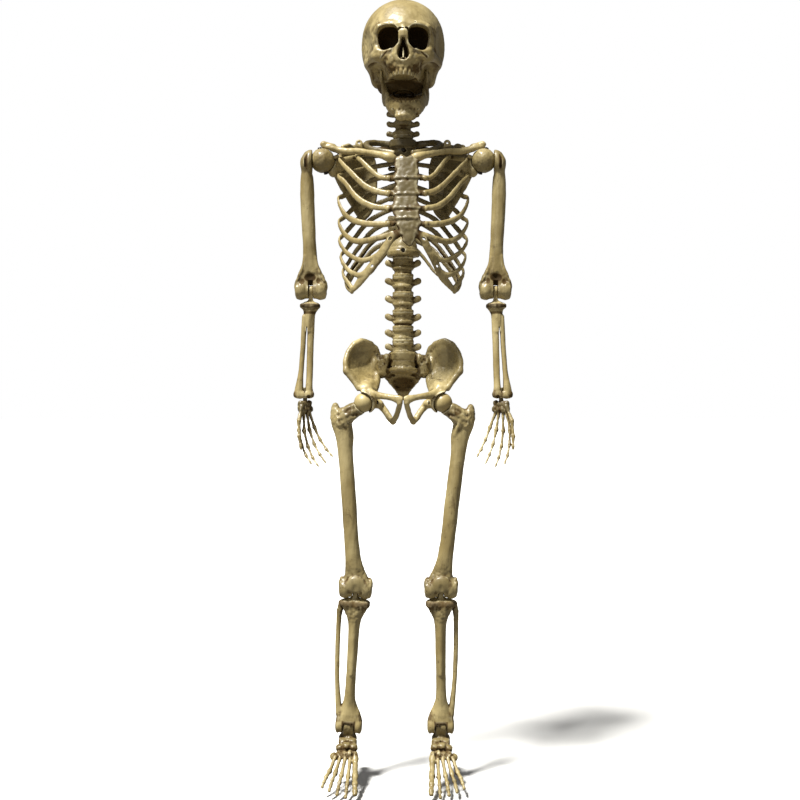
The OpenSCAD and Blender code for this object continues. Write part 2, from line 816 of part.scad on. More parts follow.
skull_face();
skull_back();
neck_socket();
jaw();
jaw_pins();
neck_spine();
neck_screw();
ribcage_front();
ribcage_back();
waist_screw();
shoulder_blade(LEFT);  // shoulder_blade_left
shoulder_blade(RIGHT);  // shoulder_blade_right
shoulder_ball(LEFT);  // shoulder_ball_left
shoulder_ball(RIGHT);  // shoulder_ball_right
shoulder_bolt(LEFT);  // shoulder_bolt_left
shoulder_bolt(RIGHT);  // shoulder_bolt_right
shoulder_axle(LEFT);  // shoulder_axle_left
shoulder_axle(RIGHT);  // shoulder_axle_right
humerus(LEFT);  // humerus_left
humerus(RIGHT);  // humerus_right
elbow_pin(LEFT);  // elbow_pin_left
elbow_pin(RIGHT);  // elbow_pin_right
forearm(LEFT);  // forearm_left
forearm(RIGHT);  // forearm_right
hand(LEFT);  // hand_left
hand(RIGHT);  // hand_right
lumbar_spine();
sacrum();
hip_bone(LEFT);  // hip_bone_left
hip_bone(RIGHT);  // hip_bone_right
hip_axle(LEFT);  // hip_axle_left
hip_axle(RIGHT);  // hip_axle_right
hip_ball(LEFT);  // hip_ball_left
hip_ball(RIGHT);  // hip_ball_right
hip_pin(LEFT);  // hip_pin_left
hip_pin(RIGHT);  // hip_pin_right
femur(LEFT);  // femur_left
femur(RIGHT);  // femur_right
knee_pin(LEFT);  // knee_pin_left
knee_pin(RIGHT);  // knee_pin_right
shin(LEFT);  // shin_left
shin(RIGHT);  // shin_right
ankle_pin(LEFT);  // ankle_pin_left
ankle_pin(RIGHT);  // ankle_pin_right
foot(LEFT);  // foot_left
foot(RIGHT);  // foot_right
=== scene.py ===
"""Poseable hanging skeleton figure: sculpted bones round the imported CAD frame.

Bones are sculpted as blocks of signed distances in millimetres, then cast as meshes in metres.
"""

import json
import math

import bpy
import numpy as np
import openvdb
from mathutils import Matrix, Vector

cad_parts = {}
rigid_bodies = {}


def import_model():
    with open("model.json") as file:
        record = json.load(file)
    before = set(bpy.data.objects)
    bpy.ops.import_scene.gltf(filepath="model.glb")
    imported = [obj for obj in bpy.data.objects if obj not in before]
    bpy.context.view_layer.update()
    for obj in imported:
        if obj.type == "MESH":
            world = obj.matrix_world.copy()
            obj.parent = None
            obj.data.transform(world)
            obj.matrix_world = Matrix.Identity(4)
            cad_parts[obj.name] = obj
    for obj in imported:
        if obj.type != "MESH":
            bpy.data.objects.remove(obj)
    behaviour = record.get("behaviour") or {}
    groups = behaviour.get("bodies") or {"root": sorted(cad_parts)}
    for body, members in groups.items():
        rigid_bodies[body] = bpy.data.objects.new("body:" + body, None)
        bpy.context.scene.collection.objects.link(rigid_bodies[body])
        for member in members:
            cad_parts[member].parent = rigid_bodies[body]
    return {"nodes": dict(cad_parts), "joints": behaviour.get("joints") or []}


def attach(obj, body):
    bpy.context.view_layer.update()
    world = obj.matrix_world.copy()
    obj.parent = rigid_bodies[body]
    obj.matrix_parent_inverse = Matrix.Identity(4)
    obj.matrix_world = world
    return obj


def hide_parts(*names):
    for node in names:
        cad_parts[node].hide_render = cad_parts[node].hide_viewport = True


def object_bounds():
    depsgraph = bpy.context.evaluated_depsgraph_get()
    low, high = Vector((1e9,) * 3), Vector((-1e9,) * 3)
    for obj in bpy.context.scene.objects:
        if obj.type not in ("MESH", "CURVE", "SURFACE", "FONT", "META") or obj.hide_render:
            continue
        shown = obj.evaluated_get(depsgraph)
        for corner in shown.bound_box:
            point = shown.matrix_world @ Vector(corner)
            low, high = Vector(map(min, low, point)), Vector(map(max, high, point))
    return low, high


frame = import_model()
CAD_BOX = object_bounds()

LEFT, RIGHT = 1, -1
SIDES = ((LEFT, "left"), (RIGHT, "right"))
JOINTS = {j["name"]: j for j in frame["joints"]}


def joint_at(name):
    """Where a joint is, in millimetres."""
    return np.array(JOINTS[name]["pos_m"]) * 1000.0


NECK_BASE = joint_at("neck_turn")
HEAD = joint_at("head_nod")
JAW = joint_at("jaw_open")
WAIST = joint_at("waist_twist")
SHOULDER = joint_at("arm_swing_left")
ELBOW = joint_at("elbow_bend_left")
WRIST = joint_at("wrist_turn_left")
HIP = joint_at("hip_swing_left")
KNEE = joint_at("knee_bend_left")
ANKLE = joint_at("ankle_bend_left")

# The rest pose, in degrees, as the CAD has it
JAW_OPEN = 24.0
FOOT_DOWN = 22.0
THIGH_OUT = {LEFT: 0.0, RIGHT: 3.0}
HAND_TURN = {LEFT: 30.0, RIGHT: 50.0}
SHOULDER_TILT = 15.0


# ---------- sculpting ----------

FAR = 30.0
PAD = 7.0


def curve(points, n):
    """Smooth curve through points, with n steps from each to the next."""
    p = np.array(points, float)
    ends = np.vstack([2 * p[0] - p[1], p, 2 * p[-1] - p[-2]])
    out = []
    for i in range(1, len(ends) - 2):
        a, b, c, d = ends[i - 1:i + 3]
        for t in np.linspace(0, 1, n, endpoint=False):
            out.append(0.5 * (2 * b + (c - a) * t + (2 * a - 5 * b + 4 * c - d) * t * t
                              + (3 * b - a - 3 * c + d) * t ** 3))
    out.append(p[-1])
    return np.array(out)


def turned(degrees_xyz):
    """Rotation matrix for turns about X, then Y, then Z."""
    m = np.eye(3)
    for axis, degrees in enumerate(degrees_xyz):
        a = math.radians(degrees)
        c, s = math.cos(a), math.sin(a)
        r = np.eye(3)
        i, j = [(1, 2), (2, 0), (0, 1)][axis]
        r[i, i] = r[j, j] = c
        r[i, j], r[j, i] = -s, s
        m = r @ m
    return m


class Egg:
    """Ellipsoid, or a boxier form where power is over 2."""

    def __init__(self, centre, radii, turn=(0, 0, 0), power=2.0):
        self.centre = np.array(centre, float)
        self.radii = np.array(radii, float)
        self.turn = turned(turn)
        self.power = power
        reach = np.abs(self.turn) @ self.radii
        self.low, self.high = self.centre - reach, self.centre + reach

    def field(self, x, y, z):
        dx, dy, dz = x - self.centre[0], y - self.centre[1], z - self.centre[2]
        t = self.turn
        q = [t[0, i] * dx + t[1, i] * dy + t[2, i] * dz for i in range(3)]
        if self.power == 2.0:
            k0 = np.sqrt(sum((q[i] / self.radii[i]) ** 2 for i in range(3)))
            k1 = np.sqrt(sum((q[i] / self.radii[i] ** 2) ** 2 for i in range(3)))
            return k0 * (k0 - 1.0) / np.maximum(k1, 1e-6)
        n = self.power
        k = sum(np.abs(q[i] / self.radii[i]) ** n for i in range(3)) ** (1.0 / n)
        return (k - 1.0) * self.radii.min()


class Sweep:
    """Rounded tube through stations [x, y, z, half-width, half-depth].

    The half-width lies square to up, and the half-depth square to both.
    """

    def __init__(self, stations, up=(0, 0, 1), n=4, power=2.0):
        s = curve(stations, n) if n > 1 else np.array(stations, float)
        self.power = power
        self.points, self.sizes = s[:, :3], np.maximum(s[:, 3:5], 0.3)
        self.up = np.array(up, float)
        reach = self.sizes.max(axis=1)[:, None]
        self.low = (self.points - reach).min(axis=0)
        self.high = (self.points + reach).max(axis=0)

    def field(self, x, y, z):
        out = np.full(np.broadcast_shapes(x.shape, y.shape, z.shape), FAR, np.float32)
        axes = [x.ravel(), y.ravel(), z.ravel()]
        for i in range(len(self.points) - 1):
            p, q = self.points[i], self.points[i + 1]
            r = max(self.sizes[i].max(), self.sizes[i + 1].max()) + self.pad
            cut = []
            for k in range(3):
                a = int(np.searchsorted(axes[k], min(p[k], q[k]) - r))
                b = int(np.searchsorted(axes[k], max(p[k], q[k]) + r))
                cut.append(slice(a, b))
            if any(c.start >= c.stop for c in cut):
                continue
            gx = axes[0][cut[0]][:, None, None] - p[0]
            gy = axes[1][cut[1]][None, :, None] - p[1]
            gz = axes[2][cut[2]][None, None, :] - p[2]
            along = q - p
            length = max(np.linalg.norm(along), 1e-6)
            t_dir = along / length
            u = np.cross(t_dir, self.up)
            u /= max(np.linalg.norm(u), 1e-6)
            v = np.cross(u, t_dir)
            s = gx * t_dir[0] + gy * t_dir[1] + gz * t_dir[2]
            t = np.clip(s / length, 0.0, 1.0)
            over = s - t * length
            a = self.sizes[i, 0] + t * (self.sizes[i + 1, 0] - self.sizes[i, 0])
            b = self.sizes[i, 1] + t * (self.sizes[i + 1, 1] - self.sizes[i, 1])
            m = np.minimum(a, b)
            du = gx * u[0] + gy * u[1] + gz * u[2]
            dv = gx * v[0] + gy * v[1] + gz * v[2]
            if self.power != 2.0:
                w = self.power
                k = (np.abs(du / a) ** w + np.abs(dv / b) ** w + np.abs(over / m) ** w) ** (1.0 / w)
                out[tuple(cut)] = np.minimum(out[tuple(cut)], (k - 1.0) * m)
                continue
            k0 = np.sqrt((du / a) ** 2 + (dv / b) ** 2 + (over / m) ** 2)
            k1 = np.sqrt((du / a ** 2) ** 2 + (dv / b ** 2) ** 2 + (over / m ** 2) ** 2)
            d = k0 * (k0 - 1.0) / np.maximum(k1, 1e-6)
            out[tuple(cut)] = np.minimum(out[tuple(cut)], d)
        return out


def stick(a, b, ra, rb=None):
    """Round bar from a to b."""
    rb = ra if rb is None else rb
    up = (0, 0, 1) if abs(b[2] - a[2]) < 0.9 * np.linalg.norm(np.subtract(b, a)) else (0, 1, 0)
    return Sweep([[*a, ra, ra], [*b, rb, rb]], up=up, n=1)


class Drum:
    """Round disc or bar with rounded edges, square to an axis."""

    def __init__(self, centre, axis, r, half, edge=1.0):
        self.centre = np.array(centre, float)
        self.axis = np.array(axis, float) / np.linalg.norm(axis)
        self.r, self.half, self.edge = r, half, edge
        reach = np.abs(self.axis) * half + np.sqrt(np.maximum(1 - self.axis ** 2, 0)) * r
        self.low, self.high = self.centre - reach, self.centre + reach

    def field(self, x, y, z):
        dx, dy, dz = x - self.centre[0], y - self.centre[1], z - self.centre[2]
        along = dx * self.axis[0] + dy * self.axis[1] + dz * self.axis[2]
        out = np.sqrt(np.maximum(dx ** 2 + dy ** 2 + dz ** 2 - along ** 2, 0))
        a = out - self.r + self.edge
        b = np.abs(along) - self.half + self.edge
        return np.hypot(np.maximum(a, 0), np.maximum(b, 0)) + np.minimum(np.maximum(a, b), 0) - self.edge


class Block:
    """Box with rounded edges."""

    def __init__(self, centre, half, turn=(0, 0, 0), edge=1.0):
        self.centre, self.half = np.array(centre, float), np.array(half, float)
        self.turn, self.edge = turned(turn), edge
        reach = np.abs(self.turn) @ self.half
        self.low, self.high = self.centre - reach, self.centre + reach

    def field(self, x, y, z):
        dx, dy, dz = x - self.centre[0], y - self.centre[1], z - self.centre[2]
        t = self.turn
        q = [np.abs(t[0, i] * dx + t[1, i] * dy + t[2, i] * dz) - self.half[i] + self.edge for i in range(3)]
        outside = np.sqrt(sum(np.maximum(v, 0) ** 2 for v in q))
        return outside + np.minimum(np.maximum(np.maximum(q[0], q[1]), q[2]), 0) - self.edge


class Sheet:
    """Plate of even thickness over a set of triangles."""

    def __init__(self, triangles, thick):
        self.tris = triangles
        self.thick = thick
        pts = np.array([p for t in triangles for p in t], float)
        self.low, self.high = pts.min(axis=0) - thick, pts.max(axis=0) + thick

    def field(self, x, y, z):
        shape = np.broadcast_shapes(x.shape, y.shape, z.shape)
        out = np.full(shape, FAR, np.float32)
        for tri in self.tris:
            a, b, c = (np.array(p, float) for p in tri)
            out = np.minimum(out, triangle_distance(x, y, z, a, b, c))
        return out - self.thick


def triangle_distance(x, y, z, a, b, c):
    """Distance from each grid point to the triangle a, b, c."""
    def dot(v, px, py, pz):
        return v[0] * px + v[1] * py + v[2] * pz

    n = np.cross(b - a, c - a)
    edges = [(a, b), (b, c), (c, a)]
    inside = None
    edge_d2 = None
    for p, q in edges:
        e = q - p
        px, py, pz = x - p[0], y - p[1], z - p[2]
        side = dot(np.cross(n, e), px, py, pz) >= 0
        inside = side if inside is None else inside & side
        t = np.clip(dot(e, px, py, pz) / (e @ e), 0, 1)
        d2 = (px - t * e[0]) ** 2 + (py - t * e[1]) ** 2 + (pz - t * e[2]) ** 2
        edge_d2 = d2 if edge_d2 is None else np.minimum(edge_d2, d2)
    plane = dot(n / np.linalg.norm(n), x - a[0], y - a[1], z - a[2])
    return np.where(inside, np.abs(plane), np.sqrt(edge_d2)).astype(np.float32)


def blend_min(a, b, k):
    if k <= 0:
        return np.minimum(a, b)
    h = np.clip(0.5 + 0.5 * (b - a) / k, 0.0, 1.0)
    return b + (a - b) * h - k * h * (1.0 - h)


LATTICES = {}


def grain(axes, cell, seed):
    """Smooth random values from -1 to 1, the same at a given place and seed."""
    if seed not in LATTICES:
        LATTICES[seed] = np.random.RandomState(seed).uniform(-1, 1, (32, 32, 32)).astype(np.float32)
    value = LATTICES[seed]
    cells = cell if hasattr(cell, "__len__") else (cell,) * 3
    for k in range(3):
        s = axes[k] / cells[k]
        i = np.floor(s).astype(int)
        f = (s - i).astype(np.float32)
        f = f * f * (3 - 2 * f)
        shape = [1, 1, 1]
        shape[k] = len(f)
        f = f.reshape(shape)
        value = np.take(value, i % 32, axis=k) * (1 - f) + np.take(value, (i + 1) % 32, axis=k) * f
    return value


class Clay:
    """A block of signed distances on an even grid. Below zero is inside."""

    def __init__(self, low, high, step):
        self.step = float(step)
        self.low = np.floor(np.array(low, float) / step) * step
        count = np.ceil((np.array(high, float) - self.low) / step).astype(int) + 1
        self.axes = [self.low[i] + self.step * np.arange(count[i]) for i in range(3)]
        self.d = np.full(tuple(count), FAR, np.float32)
        self.stains_and_shades = []

    def window(self, shape, pad):
        shape.pad = pad
        cut = []
        for k in range(3):
            a = int(np.searchsorted(self.axes[k], shape.low[k] - pad))
            b = int(np.searchsorted(self.axes[k], shape.high[k] + pad))
            cut.append(slice(a, b))
        x = self.axes[0][cut[0]][:, None, None]
        y = self.axes[1][cut[1]][None, :, None]
        z = self.axes[2][cut[2]][None, None, :]
        return tuple(cut), (x, y, z)

    def add(self, k, *shapes):
        for shape in shapes:
            cut, grid = self.window(shape, PAD + k)
            self.d[cut] = blend_min(self.d[cut], shape.field(*grid), k)
        return self

    def cut(self, k, *shapes):
        for shape in shapes:
            cut, grid = self.window(shape, PAD + k)
            self.d[cut] = -blend_min(-self.d[cut], shape.field(*grid), k)
        return self

    def both(self, k, shape_of, action="add"):
        """The same form on both sides: shape_of(1) and shape_of(-1)."""
        for side in (LEFT, RIGHT):
            getattr(self, action)(k, shape_of(side))
        return self

    def stain_and_shade(self, amount, soft, *shapes):
        """Darkens the surface inside shapes, fully where it is soft or more beneath their skin: stains, and painted
        shade in recesses and under parts.
        """
        self.stains_and_shades += [(shape, amount, soft) for shape in shapes]
        return self

    def slice(self, axis, at, keep_above):
        """Keeps only what lies on one side of a plane square to an axis."""
        shape = [1, 1, 1]
        shape[axis] = -1
        gap = (at - self.axes[axis]).reshape(shape)
        self.d = np.maximum(self.d, gap if keep_above else -gap).astype(np.float32)
        return self

    def rough(self, size, cell, seed, where=None):
        """Raises and lowers the surface at random, by up to size."""
        change = grain(self.axes, cell, seed) * size
        if where is not None:
            change = change * where(*self.grid())
        self.d += change.astype(np.float32)
        return self

    def grid(self):
        return (self.axes[0][:, None, None], self.axes[1][None, :, None], self.axes[2][None, None, :])

    def sample(self, points):
        """The field at points, by straight interpolation."""
        s = (points - self.low) / self.step
        top = np.array(self.d.shape) - 1.001
        s = np.clip(s, 0, top)
        i = s.astype(int)
        f = s - i
        value = 0.0
        for dx in (0, 1):
            for dy in (0, 1):
                for dz in (0, 1):
                    w = np.where(dx, f[:, 0], 1 - f[:, 0]) * np.where(dy, f[:, 1], 1 - f[:, 1])
                    w = w * np.where(dz, f[:, 2], 1 - f[:, 2])
                    value = value + w * self.d[i[:, 0] + dx, i[:, 1] + dy, i[:, 2] + dz]
        return value

    def cast(self):
        """(points in mm, quads, hollow, ridge), from the zero surface.

        hollow is near 1 deep in a recess and inside stains and painted shade, and ridge is near 1 on a sharp crest.
        """
        # whatever runs out of the block is closed off at its faces
        for axis in range(3):
            for end in (0, -1):
                face = [slice(None)] * 3
                face[axis] = end
                self.d[tuple(face)] = np.maximum(self.d[tuple(face)], self.step)
        grid = openvdb.FloatGrid()
        grid.copyFromArray(np.ascontiguousarray(self.d))
        points, quads = grid.convertToQuads(isovalue=0.0)
        points = points.astype(float) * self.step + self.low
        points, quads = without_crumbs(points, quads.astype(int))
        e = self.step
        normal = np.stack([self.sample(points + np.eye(3)[k] * e) - self.sample(points - np.eye(3)[k] * e)
                           for k in range(3)], axis=1)
        normal /= np.maximum(np.linalg.norm(normal, axis=1), 1e-9)[:, None]
        # hollow: how shut in each point is, which the material turns into wash and painted shade
        hollow, ridge = 0.0, 0.0
        for reach, share in ((2.0, 0.3), (4.0, 0.4), (8.0, 0.3)):
            out = np.clip(self.sample(points + normal * reach) / reach, -1, 1.2)
            hollow = hollow + share * np.clip(1.0 - out, 0, 1)
        for reach in (1.3, 2.6):
            inside = -self.sample(points - normal * reach) / reach
            ridge = ridge + 0.5 * np.clip(1.0 - inside, 0, 1)
        # stains and painted shade raise hollow inside their shapes
        for shape, amount, soft in self.stains_and_shades:
            depth = -shape.field(points[:, 0], points[:, 1], points[:, 2])
            hollow = np.maximum(hollow, amount * np.clip(depth / soft, 0, 1))
        return points, quads, hollow, ridge


def without_crumbs(points, quads):
    """Drops every island that is much smaller than the largest."""
    label = np.arange(len(points))
    edges = np.vstack([quads[:, [0, 1]], quads[:, [1, 2]], quads[:, [2, 3]]])
    while True:
        low = np.minimum(label[edges[:, 0]], label[edges[:, 1]])
        before = label.copy()
        np.minimum.at(label, edges[:, 0], low)
        np.minimum.at(label, edges[:, 1], low)
        label = label[label]
        if (label == before).all():
            break
    count = np.bincount(label, minlength=len(points))
    keep = count[label] > 0.03 * count.max()
    quads = quads[keep[quads].all(axis=1)]
    used = np.unique(quads)
    place = np.zeros(len(points), int)
    place[used] = np.arange(len(used))
    return points[used], place[quads]


def make_piece(name, parts, body, nodes, material, side=LEFT, move=None, tint=None):
    """One shown object from cast parts, in mm.

    side mirrors it, move(points) then shifts it, and tint(points) says how dark it is painted, from its own tone and
    from painted shade.
    """
    all_points, all_quads, hollows, ridges, base = [], [], [], [], 0
    for points, quads, hollow, ridge in parts:
        all_points.append(points)
        all_quads.append(quads + base)
        hollows.append(hollow)
        ridges.append(ridge)
        base += len(points)
    points = np.vstack(all_points)
    quads = np.vstack(all_quads)
    tints = np.zeros(len(points)) if tint is None else tint(points)
    if side == RIGHT:
        points = points * np.array([-1, 1, 1])
        quads = quads[:, ::-1]
    if move is not None:
        points = move(points)
    mesh = bpy.data.meshes.new(name)
    mesh.vertices.add(len(points))
    mesh.vertices.foreach_set("co", (points * 0.001).astype(np.float32).ravel())
    mesh.loops.add(quads.size)
    mesh.loops.foreach_set("vertex_index", quads.astype(np.int32).ravel())
    mesh.polygons.add(len(quads))
    mesh.polygons.foreach_set("loop_start", np.arange(0, quads.size, 4, dtype=np.int32))
    mesh.polygons.foreach_set("use_smooth", np.ones(len(quads), bool))
    mesh.update(calc_edges=True)
    for label, values in (("hollow", np.concatenate(hollows)), ("ridge", np.concatenate(ridges)),
                          ("tint", tints)):
        layer = mesh.attributes.new(label, "FLOAT", "POINT")
        layer.data.foreach_set("value", values.astype(np.float32))
    obj = bpy.data.objects.new(name, mesh)
    bpy.context.scene.collection.objects.link(obj)
    mesh.materials.append(material)
    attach(obj, body)
    if nodes:
        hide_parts(*nodes)
    return obj


def turn_about(points, centre, turn):
    return (points - centre) @ turned(turn).T + centre


# ---------- materials ----------

def bone_material(name, wash_and_shade_amount, gloss, grime):
    """Moulded bone-coloured plastic with a brown wash rubbed into its hollows, painted shade that deepens in recesses,
    and a painted highlight on its sharp crests.
    """
    mat = bpy.data.materials.new(name)
    mat.use_nodes = True
    nodes, links = mat.node_tree.nodes, mat.node_tree.links
    nodes.clear()

    def node(kind, **values):
        n = nodes.new(kind)
        for key, value in values.items():
            if key in n.inputs:
                n.inputs[key].default_value = value
            else:
                setattr(n, key, value)
        return n

    def link(a, b):
        links.new(a, b)

    def math_node(op, a, b=None, clamp=False):
        n = node("ShaderNodeMath", operation=op, use_clamp=clamp)
        for i, v in enumerate((a, b)):
            if v is None:
                continue
            if isinstance(v, (int, float)):
                n.inputs[i].default_value = v
            else:
                link(v, n.inputs[i])
        return n.outputs[0]

    def step_range(value, low, high, to_low=0.0, to_high=1.0):
        n = node("ShaderNodeMapRange", interpolation_type="SMOOTHSTEP")
        link(value, n.inputs["Value"])
        n.inputs["From Min"].default_value = low
        n.inputs["From Max"].default_value = high
        n.inputs["To Min"].default_value = to_low
        n.inputs["To Max"].default_value = to_high
        return n.outputs["Result"]

    def noise(scale, detail=4.0, rough=0.55, stretch=None, distort=0.0):
        n = node("ShaderNodeTexNoise", Scale=scale, Detail=detail, Roughness=rough, Distortion=distort)
        if stretch is None:
            link(coords.outputs["Object"], n.inputs["Vector"])
        else:
            m = node("ShaderNodeMapping")
            m.inputs["Scale"].default_value = stretch
            link(coords.outputs["Object"], m.inputs["Vector"])
            link(m.outputs["Vector"], n.inputs["Vector"])
        return n.outputs["Fac"]

    def mix(fac, a, b):
        n = node("ShaderNodeMix", data_type="RGBA")
        for socket, v in ((n.inputs[0], fac), (n.inputs[6], a), (n.inputs[7], b)):
            if isinstance(v, (int, float)):
                socket.default_value = v
            elif isinstance(v, tuple):
                socket.default_value = (*v, 1.0)
            else:
                link(v, socket)
        return n.outputs[2]

    coords = node("ShaderNodeTexCoord")
    hollow = node("ShaderNodeAttribute", attribute_name="hollow").outputs["Fac"]
    ridge = node("ShaderNodeAttribute", attribute_name="ridge").outputs["Fac"]
    tint = node("ShaderNodeAttribute", attribute_name="tint").outputs["Fac"]

    cream = (0.52, 0.425, 0.205)
    tan = (0.315, 0.24, 0.095)
    olive = (0.165, 0.122, 0.042)
    shade = (0.072, 0.053, 0.018)
    brown = (0.062, 0.030, 0.008)
    dark = (0.036, 0.022, 0.0075)
    light = (0.84, 0.76, 0.49)

    cloud = noise(11.0, 5.0, 0.6)
    patch = noise(26.0, 6.0, 0.7, distort=0.6)
    fine = noise(95.0, 6.0, 0.65)
    streak = noise(70.0, 5.0, 0.65, stretch=(1.0, 1.0, 0.1))
    grain_lines = noise(60.0, 3.0, 0.5, stretch=(1.0, 1.0, 0.07))
    speck = noise(260.0, 3.0, 0.6)

    base = mix(step_range(cloud, 0.36, 0.66), tan, cream)
    base = mix(step_range(patch, 0.5, 0.72, 0.0, 0.55 * grime), base, olive)
    base = mix(step_range(streak, 0.46, 0.74, 0.0, 0.5 * grime), base, olive)
    # tint: darker tone, and painted shade where a piece's tint says so
    base = mix(tint, base, shade)
    # worn crests come up pale, with a painted highlight along every sharp crest
    crest_wear_and_highlight = math_node("MULTIPLY", step_range(ridge, 0.2, 0.55), step_range(fine, 0.3, 0.6, 0.45, 1.0))
    pale = math_node("MULTIPLY", crest_wear_and_highlight, math_node("SUBTRACT", 0.9, math_node("MULTIPLY", tint, 0.65)))
    base = mix(pale, base, light)
    # wash that clings to hollows, with painted shade in recesses that turns dark in the deepest, broken up along its
    # edge
    broken = math_node("ADD", math_node("MULTIPLY", fine, 0.5), math_node("MULTIPLY", patch, 0.5))
    wash_and_shade_depth = math_node("ADD", hollow, math_node("MULTIPLY", math_node("SUBTRACT", broken, 0.5), 0.9 * grime))
    wash_and_shade = step_range(wash_and_shade_depth, 0.1, 0.42, 0.0, wash_and_shade_amount)
    base = mix(math_node("MULTIPLY", wash_and_shade, 0.85), base, brown)
    base = mix(step_range(wash_and_shade_depth, 0.42, 0.8, 0.0, wash_and_shade_amount), base, dark)
    # hairlines along the grain
    hair = math_node("ABSOLUTE", math_node("SUBTRACT", grain_lines, 0.5))
    hair = math_node("MULTIPLY", step_range(hair, 0.0, 0.012, 1.0, 0.0), step_range(patch, 0.5, 0.6))
    base = mix(math_node("MULTIPLY", hair, 0.55 * grime), base, brown)
    # dirt specks
    dirt = math_node("MULTIPLY", step_range(speck, 0.6, 0.7), step_range(patch, 0.45, 0.65))
    base = mix(math_node("MULTIPLY", dirt, 0.7 * grime), base, brown)

    rough = math_node("ADD", math_node("MULTIPLY", fine, 0.2), 0.5 - gloss)
    rough = math_node("ADD", rough, math_node("MULTIPLY", wash_and_shade, 0.25))
    height = math_node("ADD", math_node("MULTIPLY", fine, 0.6), math_node("MULTIPLY", patch, 0.5))
    bump = node("ShaderNodeBump", Strength=0.4, Distance=0.0012)
    link(height, bump.inputs["Height"])
    shader = node("ShaderNodeBsdfPrincipled")
    link(base, shader.inputs["Base Color"])
    link(rough, shader.inputs["Roughness"])
    link(bump.outputs["Normal"], shader.inputs["Normal"])
    link(math_node("SUBTRACT", 0.22, math_node("MULTIPLY", wash_and_shade, 0.22), clamp=True), shader.inputs["Coat Weight"])
    shader.inputs["Coat Roughness"].default_value = 0.2
    link(math_node("SUBTRACT", 0.5, math_node("MULTIPLY", wash_and_shade, 0.42), clamp=True),
         shader.inputs["Specular IOR Level"])
    out = node("ShaderNodeOutputMaterial")
    link(shader.outputs["BSDF"], out.inputs["Surface"])
    return mat


def metal_material(name):
    mat = bpy.data.materials.new(name)
    mat.use_nodes = True
    nodes, links = mat.node_tree.nodes, mat.node_tree.links
    shader = nodes["Principled BSDF"]
    coords = nodes.new("ShaderNodeTexCoord")
    noise = nodes.new("ShaderNodeTexNoise")
    noise.inputs["Scale"].default_value = 300.0
    links.new(coords.outputs["Object"], noise.inputs["Vector"])
    ramp = nodes.new("ShaderNodeValToRGB")
    ramp.color_ramp.elements[0].color = (0.010, 0.009, 0.008, 1)
    ramp.color_ramp.elements[1].color = (0.045, 0.038, 0.030, 1)
    links.new(noise.outputs["Fac"], ramp.inputs["Fac"])
    links.new(ramp.outputs["Color"], shader.inputs["Base Color"])
    shader.inputs["Metallic"].default_value = 0.6
    shader.inputs["Roughness"].default_value = 0.42
    bump = nodes.new("ShaderNodeBump")
    bump.inputs["Strength"].default_value = 0.2
    bump.inputs["Distance"].default_value = 0.0003
    links.new(noise.outputs["Fac"], bump.inputs["Height"])
    links.new(bump.outputs["Normal"], shader.inputs["Normal"])
    return mat


AGED = bone_material("aged_bone", wash_and_shade_amount=0.97, gloss=0.14, grime=1.0)
PLAIN = bone_material("plain_bone", wash_and_shade_amount=0.35, gloss=0.16, grime=0.15)
STEEL = metal_material("black_steel")


# ---------- skull ----------

TEETH = [8.4, 6.8, 7.4, 7.0, 7.0, 9.5, 9.0]


def arch_points(front_y, half_width, back_y, n=60):
    """Points along one side of a dental arch, from the middle of the front backwards."""
    t = np.linspace(0, 1, n)
    x = half_width * np.sin(t * math.pi / 2) ** 0.9
    y = back_y + (front_y - back_y) * np.cos(t * math.pi / 2) ** 0.9
    return np.stack([x, y], axis=1)


def tooth_places(front_y, half_width, back_y, widths, scale=1.0):
    """(x, y, outward direction, width) of each tooth on the +X side."""
    arch = arch_points(front_y, half_width, back_y, 200)
    run = np.concatenate([[0], np.cumsum(np.linalg.norm(np.diff(arch, axis=0), axis=1))])
    out, at = [], 0.0
    for w in widths:
        w = w * scale
        s = at + w / 2
        x, y = np.interp(s, run, arch[:, 0]), np.interp(s, run, arch[:, 1])
        x2, y2 = np.interp(s + 1, run, arch[:, 0]), np.interp(s + 1, run, arch[:, 1])
        along = np.array([x2 - x, y2 - y])
        along /= np.linalg.norm(along)
        out.append((x, y, np.array([along[1], -along[0]]), w))
        at += w
    return out


def add_teeth(clay, places, gum_z, tip_z, root_z, seed, wear=0.0):
    random = np.random.RandomState(seed)
    down = 1 if tip_z > gum_z else -1
    for side in (LEFT, RIGHT):
        for x, y, out, w in places:
            out = np.array([out[0] * side, out[1]])
            px = x * side
            lean = random.uniform(-0.4, 0.4)
            drop = random.uniform(-0.6, 0.6) - wear * random.uniform(0, 1)
            half = w / 2
            clay.add(0.5, Sweep([
                [px, y, gum_z, half * 0.8, 2.8],
                [px + lean * 0.5, y + out[1] * 0.6, gum_z * 0.6 + tip_z * 0.4, half * 1.02, 3.3],
                [px + lean, y + out[1] * 0.3, tip_z + down * drop, half * 0.98, 1.9],
            ], up=(out[0], out[1], 0), n=3))
            inset = 1.5
            clay.add(3.0, Sweep([
                [px, y, gum_z, half * 0.6, 2.2],
                [px - out[0] * inset, y - out[1] * inset, root_z, half * 0.4, 1.6],
            ], up=(out[0], out[1], 0), n=1))


